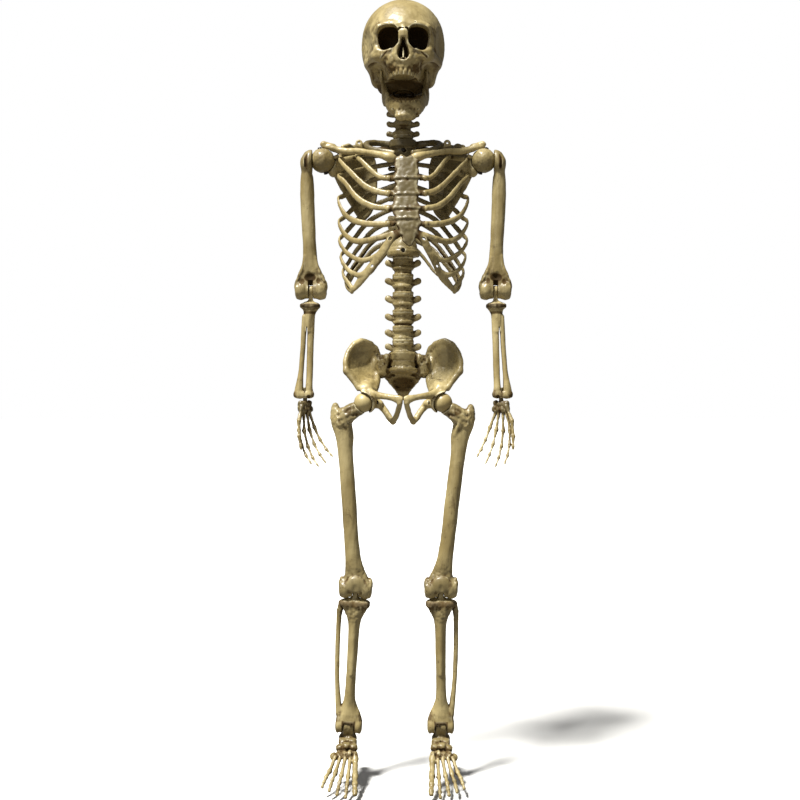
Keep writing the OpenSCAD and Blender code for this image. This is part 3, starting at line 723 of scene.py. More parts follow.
def sculpt_skull():
    clay = Clay((-86, -104, 92), (86, 110, 278), 1.1)
    clay.add(0, Egg((0, 10, 196), (78, 92, 75)))
    clay.add(22, Egg((0, 18, 166), (73, 76, 52)))
    clay.both(10, lambda s: Egg((s * 51, 18, 131), (12, 17, 20)))
    # face: brow, cheeks and upper jaw
    clay.add(24, Egg((0, -46, 182), (49, 38, 30), power=2.2))
    clay.add(10, Egg((0, -50, 146), (31, 37, 30), power=2.2))
    clay.both(9, lambda s: Egg((s * 43, -54, 150), (14, 17, 11), (0, s * 12, s * 30)))
    # base, with a round recess for the neck
    clay.add(8, Egg((0, 38, 125), (52, 46, 27), power=2.5))
    clay.cut(3, Drum(HEAD - np.array([0, 0, 8]), (0, 0, 1), 22, 16, 4))
    clay.add(1, Drum(HEAD, (0, 0, 1), 17, 12, 3))
    clay.cut(8, Egg((0, -30, 104), (36, 30, 18)))
    clay.both(10, lambda s: Egg((s * 88, -38, 178), (24, 34, 36)), "cut")
    clay.both(7, lambda s: Egg((s * 52, -30, 124), (17, 34, 19)), "cut")
    # hollows beside the upper jaw, under each cheek
    clay.both(8, lambda s: Egg((s * 43, -80, 126), (8, 16, 8)), "cut")
    clay.add(5, Sweep([
        [-27, -34, 122, 5.5, 9], [-27, -48, 122, 5.5, 9], [-23, -66, 123, 5.5, 9], [-13, -77, 124, 5.5, 9],
        [0, -81, 124, 5.5, 9], [13, -77, 124, 5.5, 9], [23, -66, 123, 5.5, 9], [27, -48, 122, 5.5, 9],
        [27, -34, 122, 5.5, 9]]))
    clay.both(9, lambda s: Egg((s * 34, -62, 149), (15, 14, 13)))
    for s in (LEFT, RIGHT):
        # cheek bone and its arch
        clay.add(9, Sweep([
            [s * 24, -78, 142, 5, 6], [s * 36, -71, 144, 7, 6], [s * 47, -63, 147, 7, 8],
            [s * 55, -50, 150, 5, 8], [s * 65, -30, 147, 3.6, 5.6], [s * 70, -8, 148, 3.6, 5.4],
            [s * 67, 10, 152, 4, 6]]))
        # brow and the outer rim of the eye socket
        clay.add(10, Sweep([
            [s * 8, -80, 197, 3, 3], [s * 20, -81, 200, 3, 3], [s * 34, -78, 201, 3, 3],
            [s * 46, -71, 197, 3, 3]]))
        clay.add(5, Sweep([
            [s * 46, -75, 198, 4, 5], [s * 52, -63, 184, 4, 5.5], [s * 52, -60, 168, 4.5, 5.5],
            [s * 47, -68, 155, 4.5, 4.5]]))
        clay.add(4, Sweep([
            [s * 47, -69, 156, 4, 3.6], [s * 35, -76, 151, 4, 3.4], [s * 22, -82, 155, 4, 3.6],
            [s * 13, -85, 166, 4, 4]]))
        # side of the nose opening
        clay.add(4, Sweep([
            [s * 2, -89, 188, 4.2, 5], [s * 5, -90, 177, 4, 5], [s * 10, -88, 163, 3.8, 4.6],
            [s * 14, -86, 148, 3.6, 4.6], [s * 12, -86, 137, 4, 4.4], [s * 3, -87, 132.5, 4, 4]]))
    clay.add(7, Sweep([[0, -82, 200, 5, 5], [0, -86, 191, 4, 5], [0, -90, 183, 3.4, 5], [0, -91, 178, 3.4, 4]]))
    clay.add(8, Sweep([[0, -78, 148, 21, 8], [0, -79, 136, 24, 8], [0, -76.5, 125, 26.5, 7.5]],
                     up=(0, 1, 0)))
    clay.add(5, Sweep([[-25, -64, 124, 5, 7], [-14, -77, 125, 5, 7], [0, -81, 125, 5, 7], [14, -77, 125, 5, 7],
                       [25, -64, 124, 5, 7]]))
    clay.both(6, lambda s: Egg((s * 22, -73, 134), (9.5, 9.5, 11)))
    for i, x in enumerate((-21, -13.5, -7, 0, 7, 13.5, 21)):
        y = -86.5 + x * x * 0.02
        clay.add(2.5, Sweep([[x * 0.8, y + 1, 136, 1.2, 1.2], [x, y, 122, 1.8, 1.6]], up=(0, 1, 0), n=2))
    # eye sockets, painted dark inside as shade
    for s in (LEFT, RIGHT):
        clay.cut(1.6, Egg((s * 24.6, -66, 177), (21.2, 40, 22.8), (0, s * 8, s * 11), 2.9))
        clay.stain_and_shade(0.85, 3.5, Egg((s * 26, -49, 178), (27, 33, 29)))
    # nose opening and its partition, with painted shade inside the opening
    clay.cut(0.8, Sweep([[0, -90, 172, 2.4, 24], [0, -90, 163, 5.6, 24], [0, -90, 153, 9, 24], [0, -90, 145, 11, 24],
                         [0, -90, 143, 9.5, 24]], up=(0, 1, 0)))
    clay.stain_and_shade(0.85, 3, Egg((0, -66, 154), (14, 16, 23)))
    clay.add(0.8, stick((0, -86, 138), (0, -84, 156), 1.7, 1.2), stick((0, -85, 137), (0, -91, 137.5), 2.2, 1.4))
    # roof of the mouth
    clay.add(2, Egg((0, -50, 121), (27, 32, 9), power=3.0))
    # small holes, cracks and a groove across the root of the nose; holes and cracks darkened as wash and painted shade,
    # the groove as a painted shadow under the brow
    for x, z in ((22, 203.5), (-26, 203)):
        clay.cut(0.4, Egg((x, -86, z), (0.8, 7, 0.8)))
        clay.stain_and_shade(0.7, 0.6, Egg((x, -86, z), (1.5, 9, 1.5)))
    clay.cut(1.4, Sweep([[-28, -84, 153, 0.6, 2.4], [-33, -82, 146, 0.8, 2.6], [-41, -76, 139, 0.5, 2]]))
    clay.cut(1.4, Sweep([[31, -83, 151, 0.5, 2], [37, -80, 146, 0.7, 2.2], [44, -74, 142, 0.5, 1.6]]))
    clay.stain_and_shade(0.7, 1.5, Egg((-34, -82, 147), (2, 9, 8), (0, 40, 0)), Egg((37, -80, 147), (2, 8, 6), (0, -50, 0)))
    clay.cut(2.5, Sweep([[-13, -82, 191.5, 1.4, 3.0], [0, -91.5, 188.5, 1.4, 2.2], [13, -82, 191.5, 1.4, 3.0]]))
    clay.stain_and_shade(0.75, 2.5, Egg((0, -88, 189.5), (11, 7, 1.8)))
    clay.rough(0.3, 16, 3).rough(0.25, 5, 4)
    clay.rough(0.5, 4, 5, lambda x, y, z: np.clip((150 - z) / 10, 0, 1) * np.clip((-50 - y) / 10, 0, 1))
    add_teeth(clay, tooth_places(-84.5, 28.8, -34, TEETH, 1.0), 118.5, 107.8, 138, 11)
    # painted shade under the skull's base, and in the hollows under the cheek arches
    clay.stain_and_shade(0.62, 8, Egg((0, 34, 98), (60, 64, 36)))
    clay.stain_and_shade(0.5, 5, *(Egg((s * 48, -30, 124), (14, 36, 20)) for s in (LEFT, RIGHT)))
    return clay


def sculpt_jaw():
    """Drawn shut. The rest pose swings it open about its pivot."""
    clay = Clay((-66, -104, 50), (66, 22, 164), 1.0)
    for s in (LEFT, RIGHT):
        clay.add(4, Sweep([
            [0, -79, 80, 6.5, 15], [s * 14, -76, 80, 6.5, 15], [s * 25, -64, 82, 6.5, 14.5],
            [s * 32, -46, 86, 5.5, 14.5], [s * 36.5, -26, 91, 5.2, 15.5], [s * 39, -10, 97, 5, 16]]))
        # branch, with its angle flared out
        clay.add(5, Sweep([
            [s * 38.5, -9, 93, 5, 17], [s * 41.5, -6, 112, 6, 16], [s * 45, -3, 132, 6, 13]], up=(0, 1, 0)))
        clay.add(4, Sweep([[s * 46, 0, 130, 5.6, 7], [s * 49.5, 1, 148, 6, 6]], up=(0, 1, 0)))
        clay.add(3, Egg((s * 50, 0, 150), (8, 6, 6)))
        clay.add(3, Sweep([[s * 43.5, -14, 124, 3, 7], [s * 43, -20, 140, 2.4, 3.5]], up=(0, 1, 0)))
        clay.add(6, Sweep([[s * 38, -14, 80, 4.6, 7], [s * 40.5, 2, 88, 4.8, 8], [s * 41.5, 9, 102, 4.2, 6]]))
        clay.cut(4, Egg((s * 49, -8, 112), (4.5, 10, 14)))
    clay.add(8, Egg((0, -85, 70), (17, 7, 9)))
    clay.both(6, lambda s: Egg((s * 11, -85, 67), (8, 6, 6)))
    clay.cut(6, Egg((0, -93, 84), (14, 5, 5)))
    for s in (LEFT, RIGHT):
        clay.cut(0.4, Egg((s * 23, -74, 80), (0.8, 7, 0.8)))
        clay.stain_and_shade(0.7, 0.6, Egg((s * 23, -74, 80), (1.5, 8, 1.5)))
    clay.rough(0.8, 9, 21).rough(0.7, 4, 22, lambda x, y, z: np.clip((-30 - y) / 20, 0, 1))
    add_teeth(clay, tooth_places(-82, 26.0, -34, TEETH, 0.9), 95.5, 100.5, 84, 12, wear=2.0)
    clay.stain_and_shade(0.45, 4, Egg((0, -66, 102), (38, 34, 9)))
    # painted shade inside the mouth, behind the chin
    clay.stain_and_shade(0.9, 8, Egg((0, -34, 92), (34, 42, 26)))
    return clay


def skull_tint(points):
    """Blotches on the right temple, and painted shade that darkens the left side and the base."""
    x, y, z = points.T
    u = y + 7 * np.sin(z * 0.11 + 1) + 3 * np.sin(z * 0.29)
    v = z + 7 * np.sin(y * 0.13) + 3 * np.sin(y * 0.31 + 2)
    blotch = np.sin(u * 0.27) * np.sin(v * 0.23 + 1) + 0.5 * np.sin(u * 0.61 + v * 0.37)
    temple = np.clip((-x - 42) / 14, 0, 1) * np.clip((222 - z) / 20, 0, 1) * np.clip((z - 140) / 10, 0, 1)
    side = 0.3 * np.clip((x - 34) / 30, 0, 1)
    low = 0.3 * np.clip((150 - z) / 30, 0, 1) * np.clip((y + 60) / 30, 0, 1)
    return np.maximum(np.maximum(side, low), temple * (0.2 + 0.35 * np.clip(blotch, -0.5, 1)))


make_piece("skull", [sculpt_skull().cast()], "skull", ["skull_face", "skull_back", "neck_socket"], AGED,
           tint=skull_tint)


def open_jaw(points):
    """Swings the jaw open; it hangs a little to the figure's left."""
    points = turn_about(points, JAW, (JAW_OPEN, 0, 0))
    points[:, 0] += 4.5 * np.clip((146 - points[:, 2]) / 50, 0, 1)
    return points


def jaw_tint(points):
    # painted shade: darker on the figure's left side and towards the back
    return 0.25 * np.clip((points[:, 0] - 8) / 25, 0, 1) + 0.2 * np.clip((points[:, 1] + 50) / 40, 0, 1)


make_piece("jaw", [sculpt_jaw().cast()], "jaw", ["jaw"], AGED, move=open_jaw,
           tint=jaw_tint)


# ---------- neck ----------

def sculpt_neck():
    clay = Clay((-42, -4, 8), (42, 76, 130), 1.1)
    x, y = NECK_BASE[0], NECK_BASE[1]
    clay.add(0, Drum((x, y, 50), (0, 0, 1), 15, 42, 4))
    clay.add(4, Drum((x, y, 16), (0, 0, 1), 19, 3.4, 2))
    clay.add(0, Drum((x, y, 98), (0, 0, 1), 7, 12, 1), Egg(HEAD, (13, 13, 13)))
    clay.add(3, Sweep([[-34, y, 94, 4, 5], [-22, y, 93, 6, 5.5], [0, y, 93, 14, 5], [22, y, 93, 6, 5.5],
                       [34, y, 94, 4, 5]], n=2))
    # painted shade under the skull
    clay.stain_and_shade(1.0, 6, Egg((0, 30, 106), (60, 40, 36)))
    for i, z in enumerate((24, 43, 62, 80)):
        clay.add(3, Drum((x, y, z + 1), (0, 0, 1), 18.5 - i * 0.6, 5, 3))
        clay.add(4, Egg((x, y - 15, z + 1), (10, 5, 6)))
        for s in (LEFT, RIGHT):
            clay.add(3, Sweep([[x + s * 8, y, z, 7, 6], [x + s * 20, y + 1, z - 1, 5.5, 5],
                               [x + s * 27, y + 2, z + 1, 5.5, 5.5]], n=2))
            clay.cut(1.5, Egg((x + s * 13, y - 15, z + 7), (5, 4, 3)))
        clay.add(3, Sweep([[x, y + 12, z, 6, 6], [x, y + 26, z - 3, 3.5, 4.5], [x, y + 36, z - 7, 4, 4]], n=2))
    clay.rough(0.5, 8, 31).rough(0.3, 3.5, 32)
    return clay.slice(2, NECK_BASE[2] + 0.8, True)


# ---------- rib cage ----------

# From the side of the chest to the breastbone: points on each rib's front half, uppermost first
RIB_FRONTS = [
    [(90, 15, -22), (80, -20, -37), (50, -45, -72), (25, -57, -77)],
    [(122, 8, -30), (104, -18, -54), (74, -44, -88), (50, -58, -103), (25, -65, -107)],
    [(124, 6, -62), (110, -14, -78), (86, -40, -111), (60, -59, -130), (25, -72, -136)],
    [(124, 5, -106), (112, -17, -136), (90, -43, -155), (58, -65, -164), (25, -78, -165)],
    [(123, 5, -151), (107, -24, -180), (83, -50, -194), (50, -70, -190), (18, -80, -181)],
    [(122, 5, -185), (107, -24, -211), (80, -50, -229), (60, -62, -226), (40, -72, -214)],
    [(119, 3, -217), (105, -24, -243), (84, -46, -256), (68, -54, -251)],
    [(115, 0, -245), (107, -18, -264), (96, -33, -279)],
    [(110, 6, -262), (104, -14, -277), (96, -30, -285)],
    [(103, 22, -262), (100, 6, -272)],
]
# Height at which each of those ribs leaves the backbone
RIB_ROOTS = [4, -10, -27, -46, -66, -87, -108, -130, -151, -171]
# How far the breastbone lies to the left of the middle
CHEST_SHIFT = 7.0


def spine_y(z):
    """How far back the spine's front line lies at height z, in the chest."""
    return 30 + 28 * math.sin(math.pi * min(max((-z - 10) / 190, 0), 1))


def chest_x(side, x):
    """Sideways place of a point x out from the middle, drawn over to the off-centre breastbone."""
    return side * x + CHEST_SHIFT * min(max((80 - x) / 50, 0), 1)


def rib_path(side, k):
    front, back_z = RIB_FRONTS[k], RIB_ROOTS[k]
    reach, drop = front[0][0], front[0][2] - back_z
    y = spine_y(back_z)
    path = [[side * 7, y + 8, back_z, 3.4, 5.2]]
    for out, depth, fall in ((0.28, y + 17, 0.09), (0.56, y + 17, 0.26), (0.8, y * 0.95, 0.6),
                             (0.93, y * 0.6 + 3, 0.82)):
        path.append([side * reach * out, depth, back_z + drop * fall, 2.8, 4.9])
    tall = 5.9 if 1 <= k <= 4 else 5.0
    for i, (x, depth, z) in enumerate(front):
        t = i / (len(front) - 1)
        half = 4.3 + (tall - 4.3) * math.sin(math.pi * min(t * 0.75, 0.5))
        path.append([chest_x(side, x), depth, z, 2.3 + 1.3 * t, half])
    path[-1][4] = min(path[-1][4], 5.2)
    return path


def sculpt_ribcage():
    clay = Clay((-132, -96, -300), (132, 112, 22), 1.25)
    # backbone, with the collar and bell that take the neck and waist
    clay.add(0, Sweep([[0, 33, 0, 17, 17], [0, 34, -20, 14, 14], [0, 50, -60, 13, 13], [0, 58, -110, 14, 14],
                       [0, 48, -155, 15, 15], [0, 38, -185, 17, 17]], up=(0, 1, 0)))
    clay.add(3, Drum((0, 30, 4), (0, 0, 1), 26, 7.6, 2.5))
    clay.add(5, Egg((0, 31, -9), (21.5, 22, 19)))
    clay.add(0, Drum((0, 35, -207), (0, 0, 1), 31.5, 5.5, 2.5))
    clay.add(3, Sweep([[0, 38, -168, 15, 15], [0, 37, -178, 17, 17], [0, 36, -190, 23, 23], [0, 35, -200, 29.5, 29.5]],
                      up=(0, 1, 0), n=3))
    for k in range(9):
        z = -20 - 19 * k
        y = spine_y(z)
        clay.add(2, Drum((0, y + 2, z), (0, 0.1, 1), 15.5, 6, 2.5))
        clay.add(3, Sweep([[0, y + 14, z, 4, 6], [0, y + 30, z - 6, 3, 5], [0, y + 42, z - 15, 3, 4]], n=2))
        clay.both(3, lambda s: Sweep([[s * 6, y + 10, z + 1, 5, 5], [s * 17, y + 15, z + 2, 4.5, 4.5],
                                      [s * 25, y + 20, z + 3, 5, 5]], n=2))
    # breastbone
    clay.add(0, Sweep([
        [6, -46, -34, 14, 4], [6, -49, -41, 22, 5.5], [6, -54, -58, 22, 5], [6, -59, -77, 22.5, 5.4],
        [6, -63, -92, 21, 5], [6, -66, -108, 24, 5.6], [6, -70, -121, 22, 5], [6, -73, -134, 26.5, 5.8],
        [8, -77, -149, 22, 5.2], [9, -79, -162, 25, 5.4], [9, -82, -175, 19.5, 5], [9.5, -83, -185, 15.5, 4.8],
        [10, -84, -195, 11.5, 4.4], [12, -85, -205, 5, 3.4]], up=(0, 1, 0), power=2.6))
    clay.cut(3, Egg((6, -50, -31), (8, 8, 6)))
    for z, y, half in ((-77, -63, 20), (-108, -70, 22), (-135, -77, 23), (-155, -82, 18)):
        clay.add(3, stick((6 - half, y, z - 1.5), (6, y - 1, z + 0.5), 2.0), stick((6, y - 1, z + 0.5),
                 (6 + half, y, z - 1), 2.0))
        clay.cut(2, stick((6 - half, y - 4, z - 5), (6 + half, y - 4, z - 4.5), 1.6))
    clay.rough(0.5, 7, 44, lambda x, y, z: np.clip((32 - np.abs(x - 6)) / 6, 0, 1) * np.clip((-40 - y) / 6, 0, 1))
    # ribs
    for s in (LEFT, RIGHT):
        clay.add(2, Sweep([
            [s * 12, 32, 3, 7, 6], [s * 30, 36, 6, 5, 6.2], [s * 52, 30, 7, 5.5, 6], [s * 68, 12, 2, 6, 6],
            [s * 69, -4, -7, 5.5, 5.4], [s * 58, -20, -16, 4.5, 5.4], [s * 38, -34, -23, 4, 5.6],
            [s * 18, -42, -28, 4, 6]]))
        for k in range(len(RIB_FRONTS)):
            clay.add(2, Sweep(rib_path(s, k), n=5))
        # thin last rib
        clay.add(2, Sweep([
            [s * 10, 50, -184, 4, 5], [s * 30, 60, -199, 3, 4], [s * 46, 60, -218, 2.6, 3.4],
            [s * 62, 52, -240, 2.5, 3], [s * 80, 38, -256, 2.4, 2.8], [s * 92, 16, -268, 2.3, 2.6]], n=5))
        # margin of gristle under the ribs
        clay.add(2.5, Sweep([
            [chest_x(s, 14), -80, -184, 4, 5.5], [chest_x(s, 28), -79, -192, 4, 7], [chest_x(s, 40), -74, -210, 3.6, 8],
            [chest_x(s, 55), -65, -233, 3.6, 8.5], [s * 69, -54, -254, 3.6, 8.5], [s * 85, -42, -273, 3.4, 7],
            [s * 97, -30, -285, 3, 4]], n=5))
        # joints between gristle and breastbone
        for front in RIB_FRONTS[:4]:
            x, y, z = front[-1]
            clay.cut(1.0, Egg((chest_x(s, x + 4), y - 6, z), (1.4, 5, 6.5)))
            clay.add(2.0, Egg((chest_x(s, x + 9), y, z - 0.5), (5.5, 4, 5.8)))
        for x, y, z, half in ((31, -82, -193, 3.6), (60, -62, -241, 2.6)):
            clay.cut(0.8, Egg((chest_x(s, x), y, z), (half, 12, 2.2), turn=(0, s * 40, 0)))
    # room for the neck's and waist's pegs, and the screw holes
    clay.cut(0.5, Drum(NECK_BASE, (0, 0, 1), 9.5, 6, 0.5))
    clay.cut(0.5, Drum((2, 8, -11), (0, 1, 0), 3.6, 5, 0.5), Drum((0, 4, -203), (0, 1, 0), 3.8, 6, 0.5))
    below = Drum(WAIST - np.array([0, 0, 30.6]), (0, 0, 1), 40, 30, 0.1)
    clay.cut(0, below)
    clay.rough(0.45, 12, 41).rough(0.35, 4.5, 42)
    return clay


def chest_tint(points):
    x, y, z = points.T
    # rear ribs darker as painted shade behind the front ones; the first rib and the breastbone are darker too
    rear = np.clip((y - 2) / 45, 0, 1) * 0.5
    first_rib = np.clip((z + 36) / 12, 0, 1) * np.clip((y + 52) / 20, 0, 1) * np.clip((88 - np.abs(x)) / 6, 0, 1)
    bone = 0.8 * np.clip((30 - np.abs(x - 8)) / 6, 0, 1) * np.clip((-38 - y) / 6, 0, 1)
    return np.maximum(np.maximum(rear, 0.12 + 0.74 * first_rib), bone)


# ---------- shoulders ----------

TILT = math.radians(SHOULDER_TILT)
BOLT_AXIS = (math.sin(TILT), 0, math.cos(TILT))


def sculpt_shoulder_blade():
    clay = Clay((8, -62, -146), (172, 104, 24), 1.2)
    # shoulder blade: a thin curved plate with thick borders
    tip, top, neck = (80, 84, -132), (76, 74, 14), (132, 32, -48)
    medial = [(58, 84, -16), (54, 86, -50), (56, 88, -92), (67, 87, -120)]
    lateral = [(94, 76, -112), (108, 60, -90), (121, 46, -70)]
    upper = [(98, 62, 6), (118, 46, -6)]
    rim = [top] + medial + [tip] + lateral + [neck] + upper[::-1]
    centre = (84, 86, -52)
    clay.add(0, Sheet([(centre, rim[i], rim[(i + 1) % len(rim)]) for i in range(len(rim))], 2.2))
    clay.add(3, Sweep([[*p, 3, 4] for p in [top] + medial + [tip]], n=4))
    clay.add(4, Sweep([[*p, 5, 6] for p in [tip] + lateral + [neck]], n=4))
    clay.add(3, Sweep([[*p, 3.2, 4] for p in [top] + upper + [neck]], n=4))
    # spine of the blade, running out to the point of the shoulder
    clay.add(4, Sweep([[60, 88, -22, 3, 4], [84, 92, -16, 3.5, 7], [108, 74, -8, 4, 8], [128, 48, -2, 5, 6],
                       [143, 24, 1, 7, 4.5], [147, 12, 1, 6, 4]], n=4))
    clay.add(4, Sweep([[98, 60, 2, 4, 5], [104, 44, 5, 4, 4], [112, 28, 0, 4, 4], [116, 20, -3, 4, 4]], n=3))
    # socket end, and the tongue inside the ball
    clay.add(6, Egg((124, 34, -36), (12, 13, 20)), Egg((134, 24, -48), (11, 12, 12)))
    clay.add(3, Sweep([[122, 30, -38, 8, 12], [134, 18, -36, 6, 14]], n=1))
    clay.add(0, Drum(SHOULDER, BOLT_AXIS, 14, 3, 0.6))
    clay.add(1.5, Block(SHOULDER + np.array([-16, 0, 4.3]), (15, 6, 3), (0, SHOULDER_TILT, 0), 0.6))
    # collar bone and the upright tab
    clay.add(3, Sweep([[20, -46, -38, 7, 8], [27, -46, -36, 8, 9.5], [38, -42, -32, 6.5, 7], [60, -26, -24, 5.8, 5.8],
                       [84, -8, -17, 6, 6], [112, 4, -14, 6, 6.4], [134, 10, -8, 8, 6],
                       [152, 13, -4, 7, 4.5]], n=4))
    clay.add(2, Drum((84, 0, 0), (0, 1, 0), 6.8, 3.2, 1.2), Block((84, 0, -9), (6.8, 3.2, 9), edge=1.2))
    clay.add(3, Egg((138, 12, -3), (10, 8, 6)), Egg((152, 12, 1), (6.5, 7, 5.5)))
    clay.rough(0.6, 9, 51).rough(0.3, 4, 52)
    clay.cut(0.4, Drum((84, 0, 0), (0, 1, 0), 2.1, 20, 0.1))
    clay.cut(0, Drum(SHOULDER, BOLT_AXIS, 2.6, 40, 0.1))
    ball = Egg(SHOULDER, (23.9, 23.9, 23.9))
    cut, grid = clay.window(ball, 8)
    reach = Drum(SHOULDER, BOLT_AXIS, 60, 3.3, 0.1)
    clay.d[cut] = np.maximum(clay.d[cut], -np.maximum(ball.field(*grid), -reach.field(*grid)))
    return clay


def sculpt_shoulder_ball():
    """Cut flat where it meets the upper arm, and slotted behind for the blade's tongue."""
    clay = Clay(SHOULDER - 27, SHOULDER + 27, 0.9)
    clay.add(0, Egg(SHOULDER, (23.3, 23.3, 23.3)))
    clay.rough(0.7, (5, 5, 12), 55).rough(0.35, 3.5, 56)
    clay.cut(0.8, Block(SHOULDER + np.array([-14, 14, 3.6]), (16, 17, 3.4), (0, SHOULDER_TILT, 0), 0.4))
    clay.cut(0.4, Drum(SHOULDER, BOLT_AXIS, 3.4, 40, 0.1))
    # painted shade round the bolt hole
    clay.stain_and_shade(1.0, 2, Drum(SHOULDER, BOLT_AXIS, 5.5, 30, 0.1))
    return clay.slice(0, SHOULDER[0] + 20.0, False)


def blade_tint(points):
    # painted shade: darker towards the back, behind the ribs
    return np.clip((points[:, 1] - 18) / 25, 0, 1) * 0.4


# ---------- arms ----------

def condyles(clay, centre, half, r, slot_half, slot_r, waist):
    """Rounded bearing across a hinge; the slot that its link swings in is not cut here."""
    x, y, z = centre
    clay.add(3, Drum(centre, (1, 0, 0), r - waist, half - 2, 2.5))
    for s in (LEFT, RIGHT):
        clay.add(4, Egg((x + s * half * 0.62, y, z), (half * 0.42, r, r)))
        clay.add(3, Egg((x + s * (half - 4), y + 1, z + r * 0.55), (5.5, r * 0.62, r * 0.6)))
        clay.cut(2, Egg((x + s * (half + 3), y, z), (4.5, 5, 5)))


def sculpt_humerus():
    x, y = ELBOW[0], ELBOW[1]
    clay = Clay((140, -14, -306), (212, 44, -2), 1.15)
    seam = SHOULDER[0] + 20.6
    clay.add(0, Egg((seam + 2.5, 15, -30), (17, 20, 20.5)))
    clay.add(4, Egg((seam + 12.5, 9, -36), (9, 12, 14)), Egg((seam + 7, 1, -36), (6, 7, 11)))
    clay.add(8, Sweep([[seam + 9, 15, -34, 10, 13], [seam + 9.5, 15, -56, 11.5, 13], [184, 15, -80, 13.2, 13],
                       [183.5, 15, -115, 13.4, 12.8], [181, 15, -160, 13, 12], [179, 15, -200, 12.8, 11.4],
                       [178, 15, -228, 15, 11], [177, 15, -244, 21, 11], [177, 15, -256, 26.5, 11.5],
                       [177, 15, -272, 29, 12]], up=(0, 1, 0)))
    clay.add(5, Sweep([[188, 9, -215, 2, 2], [193, 8, -238, 2.5, 3], [203, 8, -262, 3.5, 4]], up=(0, 1, 0), n=3))
    clay.add(5, Sweep([[168, 9, -218, 2, 2], [162, 8, -240, 2.5, 3], [151, 8, -262, 3.5, 4]], up=(0, 1, 0), n=3))
    condyles(clay, ELBOW, 30, 18, 4.5, 20, 2.5)
    clay.cut(4, Egg((x + 1, y - 15, -254), (12, 8, 9)), Egg((x + 1, y + 15, -256), (12, 8, 9)))
    clay.cut(2, Egg((x + 16, y - 15, -262), (5, 5, 6)), Egg((x - 15, y - 15, -261), (4, 5, 6)))
    clay.cut(2, Sweep([[seam + 12, -4, -22, 1.6, 3], [seam + 11, -2, -44, 1.8, 3]], up=(0, 1, 0), n=1))
    clay.rough(0.45, (5, 5, 30), 61).rough(0.3, (2.8, 2.8, 12), 62)
    clay.rough(0.6, 5, 63, lambda x, y, z: np.clip((-232 - z) / 16, 0, 1) * np.clip((z + 300) / 30, 0, 1))
    clay.cut(0.6, Drum(ELBOW, (1, 0, 0), 20.5, 4.5, 0.3))
    clay.add(1.5, Block((x, y + 3, ELBOW[2] + 16), (6, 6, 5.5), edge=1))
    # painted shade inside the elbow's slot and the hollow in front of it; the small pits and the groove by the seam
    # darkened as wash and painted shade
    clay.stain_and_shade(0.9, 4, Drum(ELBOW, (1, 0, 0), 21, 5.2, 0.3), Egg((x + 1, y - 12, -255), (13, 12, 10)))
    clay.stain_and_shade(0.5, 3, Egg((x + 16, y - 13, -262), (7, 8, 8)), Egg((x - 15, y - 13, -261), (6, 8, 8)))
    clay.stain_and_shade(0.6, 2, Egg((seam + 9, -3, -34), (3, 8, 16)))
    return half_ball(clay, seam, -90)


def half_ball(clay, seam, low_z):
    """Takes off what lies inside the seam beside the shoulder ball, above low_z."""
    x, _, z = clay.grid()
    gap = np.where(z > low_z, seam - np.clip((-54 - z) * 0.3, 0, 20) - x, -FAR)
    clay.d = np.maximum(clay.d, gap).astype(np.float32)
    return clay


def link(clay, centre, r, half, foot_z, depth):
    """Round eye and stem that swing in a slot."""
    x, y, z = centre
    clay.add(0, Drum(centre, (1, 0, 0), r, half, 0.8))
    clay.add(1, Block((x, y, (z + foot_z) / 2), (half, depth / 2, (z - foot_z) / 2), edge=0.8))


def sculpt_forearm():
    x, y, z = WRIST
    clay = Clay((154, -12, -494), (216, 38, -268), 1.05)
    link(clay, ELBOW, 9, 3.8, -308, 11)
    clay.add(2, Egg((178, 15, -308.5), (19, 14, 5), power=3.5))
    clay.add(5, Sweep([[178, 15, -310, 16, 11], [179, 15, -320, 12, 11], [181, 14, -336, 10, 9.5],
                       [182, 14, -356, 10.5, 8]], up=(0, 1, 0)))
    clay.add(2, Sweep([[188, 14, -330, 6, 7], [190, 13, -362, 5.2, 6], [192.5, 11, -400, 4.8, 5.6],
                       [195.5, 8, -438, 5.2, 5.8], [198, 5, -462, 7.5, 7.4], [199, 5, -478, 9.5, 8.5]], up=(0, 1, 0)))
    clay.add(2, Sweep([[176, 15, -330, 7, 7], [178, 14, -365, 7.2, 6.2], [178.5, 12, -405, 7, 5.8],
                       [179, 8, -442, 6.4, 5.6], [180, 5, -464, 7, 6.8], [179.5, 5, -478, 8.5, 7.5]], up=(0, 1, 0)))
    clay.add(3, Egg((189.3, 5, -479), (18.6, 8.6, 6.6), power=3.2))
    clay.cut(1.2, Sweep([[184, 14, -350, 0.9, 14], [185, 13, -374, 1.4, 14], [186.3, 10, -410, 2.0, 14],
                         [187.2, 7, -445, 2.0, 14], [188, 6, -465, 0.9, 14]], up=(0, 1, 0), n=3))
    clay.cut(1.5, Sweep([[176, 5, -350, 1.0, 1.6], [176.5, 3, -400, 1.0, 1.6], [177, 0, -440, 0.8, 1.4]],
                        up=(0, 1, 0), n=3))
    clay.rough(0.4, (4, 4, 26), 71).rough(0.25, (2.6, 2.6, 10), 72)
    clay.cut(0.4, Drum((x, y, z), (0, 0, 1), 4.3, 12, 0.3), Drum(ELBOW, (1, 0, 0), 3.2, 9, 0.1))
    # painted shade under the disc, and in the gaps between the two bones at the wrist
    clay.stain_and_shade(0.55, 3, Block((179, 12, -322), (22, 12, 4)))
    clay.stain_and_shade(0.7, 1.5, Egg((187.5, 2, -466), (3.2, 12, 12)), Egg((180, -4, -484), (5, 6, 6)))
    return clay


# Knuckle places of each finger in the hand's own frame, little finger first: palm towards -Y, thumb towards +X
FINGER_ROOTS = [(-10, -22), (-4, -8.5), (4, 6), (11, 20)]
FINGER_SIZES = [0.88, 1.0, 1.06, 1.0]


